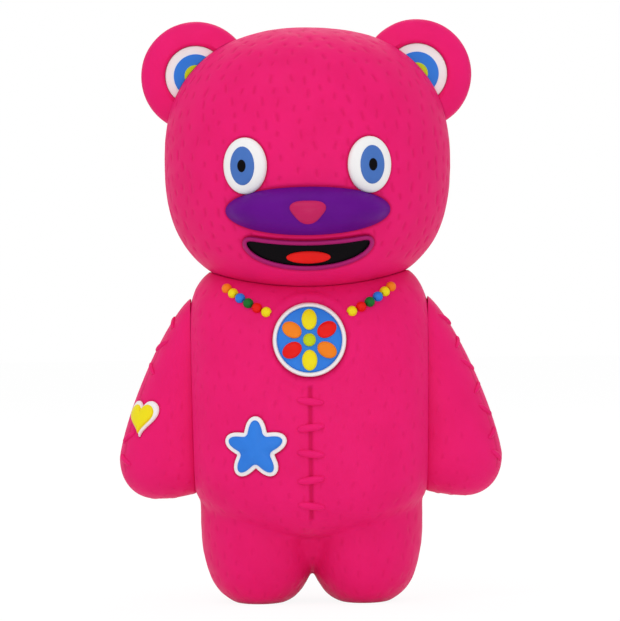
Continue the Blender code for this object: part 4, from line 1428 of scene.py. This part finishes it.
@dataclass
class Arm:
    """An arm: a soft casting with a peg, an outer seam and stitches across it.

    Attributes:
        shoulder: Where it turns.
        cuts: How fine its mesh is.
        fur: The engraved strokes.
        seam: The heights from the shoulder where its seam starts and ends.
        seam_turn: How far the seam lies from straight out towards the front.
        stitches: How many stitches it has.
    """

    shoulder: Shoulder
    cuts: int = 84
    # The fifth value is the painted shade in the strokes' grooves.
    fur: FurStrokes = FurStrokes(4.4 * MM, (1.8 * MM, 3.4 * MM), 0.80 * MM, 0.22 * MM, 0.26,
                                 math.radians(24.0), 31)
    seam: tuple[float, float] = (10.0 * MM, -44.0 * MM)
    seam_turn: float = math.radians(24.0)
    stitches: int = 7

    @property
    def form(self) -> ArmForm:
        """The arm's outer form."""
        return ArmForm(self.shoulder.place)

    @property
    def front_turn(self) -> float:
        """The seam's turn, signed for this side."""
        return -self.shoulder.side.value * self.seam_turn

    def outer(self, height: float, turn: float) -> tuple[Vector, Vector]:
        """A point of the arm's outside and the normal there.

        Args:
            height: The height above the shoulder.
            turn: The angle from straight out towards the frame's X.

        Returns:
            The point and the normal.
        """
        form = self.form
        middle, half_out, half_depth = form.section(height + form.hand)
        spot = Vector((half_depth * math.sin(turn), height, middle + half_out * math.cos(turn)))
        normal = Vector((half_out * math.sin(turn), 0, half_depth * math.cos(turn))).normalized()
        turn_matrix = form.frame.to_3x3()
        return form.frame @ spot, (turn_matrix @ normal).normalized()

    def build(self, trims: list[list[Vector]], under: Callable[[Vector], bool]) -> None:
        """Makes the casting, its peg and its stitches.

        Args:
            trims: The edges of the pieces that lie on it.
            under: Says whether a point is covered by one of those pieces.
        """
        form, shoulder = self.form, self.shoulder
        bm = even_ball(self.cuts)
        for vert in bm.verts:
            vert.co = form.frame @ form.local(vert.co)
        relief = Relief(bm)
        inward = form.frame.to_3x3() @ -UP

        def open_skin(place: Vector, normal: Vector) -> bool:
            return normal.dot(inward) < 0.3 and not under(place)

        # Painted shade darkens the fur strokes' grooves.
        relief.fur(replace(self.fur, seed=self.fur.seed + shoulder.side.value), open_skin)
        # Painted shade darkens the groove round each patch fully.
        for trim in trims:
            relief.line(trim + trim[:1], 0.8 * MM, -0.35 * MM, 1.0)
        # Painted shade darkens the arm's seam groove by half.
        heights = [self.seam[0] + (self.seam[1] - self.seam[0]) * i / 60 for i in range(61)]
        seam = [self.outer(height, self.front_turn)[0] for height in heights]
        relief.line([place for place in seam if not under(place)], 1.0 * MM, -0.4 * MM, 0.5)
        for index, (place, normal) in enumerate(zip(relief.places, relief.normals)):
            ease = smooth_step((0.6 - normal.dot(inward)) / 0.6)
            lump = noise.noise(place / (10.0 * MM)) * 0.2 * MM + noise.noise(place / (3.0 * MM)) * 0.07 * MM
            relief.heights[index] = (relief.heights[index] + lump) * ease
        relief.apply()
        name = shoulder.side.word
        add_piece(bm, f"{name}_arm_casting", shoulder.body, Finishes.PINK, f"{name}_arm")
        peg = rounded(shoulder.peg_radius, -0.8 * MM, shoulder.peg_length, 0.8 * MM)
        turned = form.frame @ Matrix.Rotation(math.pi, 4, "X")
        add_piece(spun(peg, turned, 64), f"{name}_shoulder_peg", shoulder.body, Finishes.PINK)
        self._build_stitches(trims)

    def _build_stitches(self, trims: list[list[Vector]]) -> None:
        """Makes the stitches across the seam, where no other piece is.

        Args:
            trims: The edges of the pieces that lie on the arm.
        """
        form = self.form
        inverse = form.frame.inverted()
        half_length = 3.9 * MM
        seam = []
        for i in range(self.stitches):
            height = self.seam[0] + (self.seam[1] - self.seam[0]) * (i + 0.5) / self.stitches
            place, normal = self.outer(height, self.front_turn)
            if any((place - point).length < half_length for trim in trims for point in trim):
                continue
            flat = facing(place, normal, form.frame.to_3x3() @ Vector((0, 1, 0)))
            slant = math.radians(28 if i % 2 else -28)
            seam.append((place, normal, flat.to_3x3() @ Vector((math.cos(slant), math.sin(slant), 0))))

        def seat(point: Vector, normal: Vector) -> tuple[Vector, Vector]:
            here = inverse @ point
            _, _, half_depth = form.section(here.y + form.hand)
            return self.outer(here.y, math.asin(max(-1.0, min(1.0, here.x / half_depth))))

        row = StitchRow(seam, half_length, 0.95 * MM, 0.75 * MM, seat)
        name = self.shoulder.side.word
        add_piece(row.mesh(), f"{name}_arm_stitches", self.shoulder.body, Finishes.PINK)


@dataclass
class Necklace:
    """A strand of beads on each side of the chest and a flower pendant between them.

    Attributes:
        belly: The form that carries it.
        beads: How many beads each strand has.
        half_width: How far out the strands start.
        start_level: The level where they start.
        sag: How far they sag.
        clearance: How far from the pendant they end.
        hang_angle: Where on the pendant's edge they end.
        radius: The pendant's radius.
        level: The pendant's level.
        rim_width: The width of its rim.
        petals: How many petals the flower has.
    """

    belly: Ovoid
    beads: int = 6
    half_width: float = 27.8 * MM
    start_level: float = 107.6 * MM
    sag: float = 0.6 * MM
    clearance: float = 4.8 * MM
    hang_angle: float = math.radians(33.0)
    radius: float = 12.4 * MM
    level: float = 90.3 * MM
    rim_width: float = 1.5 * MM
    petals: int = 6
    bead_finishes: tuple[VinylFinish, ...] = (Finishes.ORANGE, Finishes.YELLOW, Finishes.BLUE, Finishes.GREEN,
                                              Finishes.RED, Finishes.YELLOW)
    petal_finishes: tuple[VinylFinish, ...] = (Finishes.YELLOW, Finishes.ORANGE, Finishes.RED)

    @property
    def place(self) -> Matrix:
        """The pendant's frame, facing the front."""
        return facing(self.belly.front(0, self.level), FORWARD)

    def on_belly(self, x: float, y: float) -> Vector:
        """The belly's surface at a point of the pendant's plane."""
        return self.belly.front(x, self.level + y)

    def ring(self, radius: float) -> list[Vector]:
        """A circle on the belly round the pendant's middle."""
        return [self.on_belly(x, y) for x, y in circle(radius)]

    def strand(self, side: Side, share: float) -> Vector:
        """A strand's point, where share runs from 0 at its upper end to 1 at the pendant."""
        reach = self.radius + self.clearance
        low = Vector((reach * math.cos(self.hang_angle), self.level + reach * math.sin(self.hang_angle)))
        spot = Vector((self.half_width, self.start_level)).lerp(low, share)
        return self.belly.front(side.value * spot.x, spot.y - self.sag * 4 * share * (1 - share))

    def build(self) -> None:
        """Makes the beads and the pendant."""
        for number, side in enumerate((Side.RIGHT, Side.LEFT)):
            self._build_strand(side, number * self.beads)
        place = self.place
        inner = self.radius - self.rim_width
        rim = Band(place, circle(self.radius - self.rim_width / 2, 144), self.on_belly, self.rim_width / 2, 2.5 * MM)
        add_piece(rim.mesh(), "pendant_rolled_rim", Body.TRUNK, Finishes.WHITE, "pendant_rim")
        disc = Pad(place, circle(inner + 0.1 * MM, 144), self.on_belly, 1.6 * MM, edge=8.0, crown=0.2 * MM)
        add_piece(disc.mesh(), "pendant_face", Body.TRUNK, Finishes.BLUE, "pendant_disc")
        on_disc = disc.top(lambda x, y: math.hypot(x, y) / inner)
        ring = inner - 3.5 * MM - 0.6 * MM
        for i in range(self.petals):
            turn = 2 * math.pi * i / self.petals + math.pi / 2
            spot = (ring * math.cos(turn), ring * math.sin(turn))
            petal = Pad(place, ellipse(3.5 * MM, 2.6 * MM, spot, turn, 64), on_disc, 1.1 * MM, edge=2.6,
                        middle=spot, rings=10)
            add_piece(petal.mesh(), f"pendant_petal_{i + 1}_pad", Body.TRUNK,
                      self.petal_finishes[i % len(self.petal_finishes)], f"pendant_petal_{i + 1}")
        button = Pad(place, circle(2.2 * MM, 64), on_disc, 1.3 * MM, edge=2.2, rings=10)
        add_piece(button.mesh(), "pendant_flower_button", Body.TRUNK, Finishes.LIME, "pendant_flower_eye")

    def _build_strand(self, side: Side, first: int) -> None:
        """Makes one strand's beads.

        Args:
            side: Which strand.
            first: How many beads come before it.
        """
        samples = [self.strand(side, i / 200) for i in range(201)]
        lengths = [0.0]
        for here, after in zip(samples, samples[1:]):
            lengths.append(lengths[-1] + (after - here).length)
        pitch = lengths[-1] / (self.beads - 1)
        for i in range(self.beads):
            nearest = min(range(201), key=lambda k: abs(lengths[k] - i * pitch))
            along = (samples[min(200, nearest + 1)] - samples[max(0, nearest - 1)]).normalized()
            number = first + i
            self._build_bead(samples[nearest], along, pitch / 2 - 0.1 * MM, number)

    def _build_bead(self, place: Vector, along: Vector, radius: float, number: int) -> None:
        """Makes one bead, with a dimple at each end of its thread hole.

        Args:
            place: Its middle on the chest.
            along: The way that its thread runs.
            radius: Its radius.
            number: Its number in the necklace, from 0.
        """
        bm = bmesh.new()
        bmesh.ops.create_uvsphere(bm, u_segments=32, v_segments=24, radius=radius)
        for vert in bm.verts:
            flat = math.hypot(vert.co.x, vert.co.y)
            dimple = smooth_step(1.0 - flat / (0.38 * radius))
            vert.co.z *= 1.0 - 0.45 * dimple
        turn = UP.rotation_difference(along).to_matrix().to_4x4()
        lift = FORWARD * (0.25 * radius)
        bmesh.ops.transform(bm, matrix=Matrix.Translation(place + lift) @ turn, verts=bm.verts)
        add_piece(bm, f"chest_bead_{number + 1:02d}", Body.TRUNK,
                  self.bead_finishes[number % len(self.bead_finishes)], f"bead_{number + 1:02d}")


@dataclass
class Patch:
    """A pillowed patch on a white backing.

    Attributes:
        name: What it is.
        body: The body it rides on.
        place: Its frame.
        seat: The surface that carries it.
        outline: The face's edge.
        border: How far the backing shows round it.
        finish: What the face is made of.
        backing_high: How far the backing stands out.
        face_high: How far the face stands out of the backing.
    """

    name: str
    body: Body
    place: Matrix
    seat: Seat
    outline: Outline
    border: Outline
    finish: VinylFinish
    backing_high: float = 1.2 * MM
    face_high: float = 1.1 * MM

    def edge(self) -> list[Vector]:
        """The line where the backing meets the surface."""
        return [self.seat(x, y) for x, y in self.border]

    def build(self) -> None:
        """Makes the backing and the face."""
        backing = Pad(self.place, self.border, self.seat, self.backing_high, edge=5.0)
        add_piece(backing.mesh(), f"{self.name}_border_pad", self.body, Finishes.WHITE, f"{self.name}_backing")
        out = self.place.to_3x3() @ UP
        lifted = self.backing_high - 0.05 * MM
        face = Pad(self.place, self.outline, lambda x, y: self.seat(x, y) + out * lifted, self.face_high, edge=3.0,
                   crown=0.25 * MM)
        add_piece(face.mesh(), f"{self.name}_face_pad", self.body, self.finish, self.name)


def within(lines: Iterable[list[Vector]], margin: float) -> Callable[[Vector], bool]:
    """Makes a test for points that a piece covers, from the ball round its edge's middle.

    Args:
        lines: The edges of the pieces.
        margin: How far beyond an edge still counts.

    Returns:
        The test.
    """
    covers = []
    for line in lines:
        middle = sum(line, Vector()) / len(line)
        spans = [max(abs(point[axis] - middle[axis]) for point in line) + margin for axis in (0, 2)]
        covers.append((middle, spans))

    def covered(place: Vector) -> bool:
        for middle, (wide, tall) in covers:
            if abs(place.y - middle.y) > wide + tall:
                continue
            if ((place.x - middle.x) / wide) ** 2 + ((place.z - middle.z) / tall) ** 2 < 1.0:
                return True
        return False

    return covered


@dataclass
class Studio:
    """The floor, the soft light and the camera.

    Attributes:
        aim: Where the camera looks.
        distance: How far it stands off.
        view_width: The width that it sees at the figure.
        elevation: How far it looks down.
        roll: How far it is tipped about its own line of sight.
        daylight: The strength of the light from all round.
    """

    aim: Vector = field(default_factory=lambda: Vector((0.0003, 0, 0.0996)))
    distance: float = 1.6
    view_width: float = 0.2127
    elevation: float = math.radians(1.0)
    roll: float = math.radians(0.7)
    daylight: float = 0.73

    def build(self) -> None:
        """Makes the stage."""
        bpy.context.scene.view_settings.view_transform = "Standard"
        self._camera()
        self._world()
        self._floor()
        self._lamp("key_lamp", (-0.25, -0.8, 1.4), 1.0, 5.0)
        self._lamp("low_lamp", (0.15, -1.5, 0.12), 0.8, 4.4)
        self._lamp("back_lamp", (0.1, 1.1, 1.2), 1.0, 3.0)

    def _camera(self) -> None:
        """Makes the long-lens camera of the photograph's view."""
        data = bpy.data.cameras.new("camera")
        data.sensor_width = 36.0
        data.lens = data.sensor_width * self.distance / self.view_width
        camera = bpy.data.objects.new("camera", data)
        bpy.context.scene.collection.objects.link(camera)
        back = Vector((0, -math.cos(self.elevation), math.sin(self.elevation)))
        camera.location = self.aim + back * self.distance
        turn = (-back).to_track_quat("-Z", "Y").to_matrix().to_4x4()
        camera.rotation_euler = (turn @ Matrix.Rotation(-self.roll, 4, "Z")).to_euler()
        bpy.context.scene.camera = camera

    def _world(self) -> None:
        """Makes an even light from all round, which the camera and reflections see as white."""
        world = bpy.data.worlds.new("white_studio")
        bpy.context.scene.world = world
        world.use_nodes = True
        nodes, links = world.node_tree.nodes, world.node_tree.links
        light = nodes["Background"]
        light.inputs["Color"].default_value = (1.0, 1.0, 1.0, 1.0)
        light.inputs["Strength"].default_value = self.daylight
        white = nodes.new("ShaderNodeBackground")
        white.inputs["Color"].default_value = (1.0, 1.0, 1.0, 1.0)
        mix = nodes.new("ShaderNodeMixShader")
        links.new(self._seen(nodes, links), mix.inputs["Fac"])
        links.new(light.outputs[0], mix.inputs[1])
        links.new(white.outputs[0], mix.inputs[2])
        links.new(mix.outputs[0], nodes["World Output"].inputs["Surface"])

    @staticmethod
    def _seen(nodes, links) -> bpy.types.NodeSocket:
        """Adds a test for the rays that show a background: camera, glossy and transmission."""
        path = nodes.new("ShaderNodeLightPath")
        last = path.outputs["Is Camera Ray"]
        for kind in ("Is Glossy Ray", "Is Transmission Ray"):
            either = nodes.new("ShaderNodeMath")
            either.operation = "MAXIMUM"
            links.new(last, either.inputs[0])
            links.new(path.outputs[kind], either.inputs[1])
            last = either.outputs[0]
        return last

    def _floor(self) -> None:
        """Makes a white floor that keeps a faint shadow."""
        bm = bmesh.new()
        bmesh.ops.create_circle(bm, cap_ends=True, segments=96, radius=3.0)
        floor = scratch_object(bm, "floor")
        material = bpy.data.materials.new("white_floor")
        material.use_nodes = True
        nodes, links = material.node_tree.nodes, material.node_tree.links
        shader = nodes["Principled BSDF"]
        shader.inputs["Base Color"].default_value = (0.97, 0.97, 0.97, 1.0)
        shader.inputs["Roughness"].default_value = 0.9
        shader.inputs["Specular IOR Level"].default_value = 0.1
        glow = nodes.new("ShaderNodeEmission")
        share = nodes.new("ShaderNodeMath")
        share.operation = "MULTIPLY"
        share.inputs[1].default_value = 0.89
        glow.inputs["Strength"].default_value = 1.025
        links.new(self._seen(nodes, links), share.inputs[0])
        mix = nodes.new("ShaderNodeMixShader")
        links.new(share.outputs[0], mix.inputs["Fac"])
        links.new(shader.outputs[0], mix.inputs[1])
        links.new(glow.outputs[0], mix.inputs[2])
        links.new(mix.outputs[0], nodes["Material Output"].inputs["Surface"])
        floor.data.materials.append(material)

    def _lamp(self, name: str, place: tuple[float, float, float], size: float, power: float) -> None:
        """Makes a soft lamp that looks at the figure.

        Args:
            name: The lamp's name.
            place: Where it stands.
            size: How wide it is.
            power: Its power in watts.
        """
        data = bpy.data.lights.new(name, "AREA")
        data.size = size
        data.energy = power
        lamp = bpy.data.objects.new(name, data)
        bpy.context.scene.collection.objects.link(lamp)
        lamp.location = place
        lamp.rotation_euler = (self.aim - Vector(place)).to_track_quat("-Z", "Y").to_euler()


def main() -> None:
    """Builds the figure's pieces in order and the studio round them."""
    logging.basicConfig(level=logging.INFO, format="%(name)s: %(message)s")
    low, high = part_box("head_shell")
    axis_y = (low.y + high.y) / 2
    head = Ovoid(Vector((0, axis_y, 151.3 * MM)), 48.9 * MM, 43.0 * MM, 45.2 * MM, 45.6 * MM, (2.36, 2.36), (2.6, 2.6),
                 (0.60, 0.93))
    belly = Ovoid(Vector((0, axis_y, 57.0 * MM)), 42.4 * MM, 37.0 * MM, 60.0 * MM, 35.0 * MM, (5.5, 2.4), (2.8, 3.8),
                  squareness=3.2)
    hips = Ovoid(Vector((0, axis_y, 32.6 * MM)), 33.3 * MM, 19.5 * MM, 18.0 * MM, 22.0 * MM, (2.5, 2.5), (2.5, 2.5))
    legs = [Ovoid(Vector((side.value * 17.8 * MM, axis_y - 1.0 * MM, 34.0 * MM)), 20.3 * MM, 24.5 * MM, 20.0 * MM,
                  35.2 * MM, (2.8, 4.0), (2.8, 4.0)) for side in Side]
    shoulders = [Shoulder(side, Vector((side.value * 40.408 * MM, axis_y, 90.0 * MM))) for side in Side]

    eyes = [Eye(side, head) for side in Side]
    muzzle, mouth = Muzzle(head), Mouth(head)
    face = [*(eye.edge() for eye in eyes), muzzle.edge(), mouth.edge()]
    HeadCasting(head).build(face, within(face, 1.2 * MM))
    for side in Side:
        Ear(side, head).build()
    for eye in eyes:
        eye.build()
    muzzle.build()
    mouth.build()

    necklace = Necklace(belly)
    star_place = belly.front_frame(-18.5 * MM, 54.0 * MM)
    star_edge = star(9.6 * MM)
    star_patch = Patch("belly_star", Body.TRUNK, star_place, seat_on(belly, star_place), star_edge,
                       spread(star_edge, 1.3 * MM), Finishes.BLUE)
    trims = [necklace.ring(necklace.radius), star_patch.edge()]
    dish = replace(head, half_depth=head.half_width, base_rounding=None).grown(0.12 * MM)
    BodyCasting([belly, hips, *legs], dish, shoulders).build(trims, within(trims, 1.0 * MM),
                                                              necklace.ring(necklace.radius + 2.4 * MM))
    necklace.build()
    star_patch.build()

    for shoulder in shoulders:
        arm = Arm(shoulder)
        patches = []
        if shoulder.side is Side.RIGHT:
            spot, normal = arm.outer(-26.0 * MM, math.radians(42.0))
            place = facing(spot, normal)
            patches = [Patch("arm_heart", shoulder.body, place, seat_on(arm.form, place), heart(5.4 * MM),
                             heart(6.7 * MM), Finishes.YELLOW)]
        edges = [patch.edge() for patch in patches]
        arm.build(edges, within(edges, 0.8 * MM))
        for patch in patches:
            patch.build()

    Studio().build()


if __name__ == "__main__":
    main()
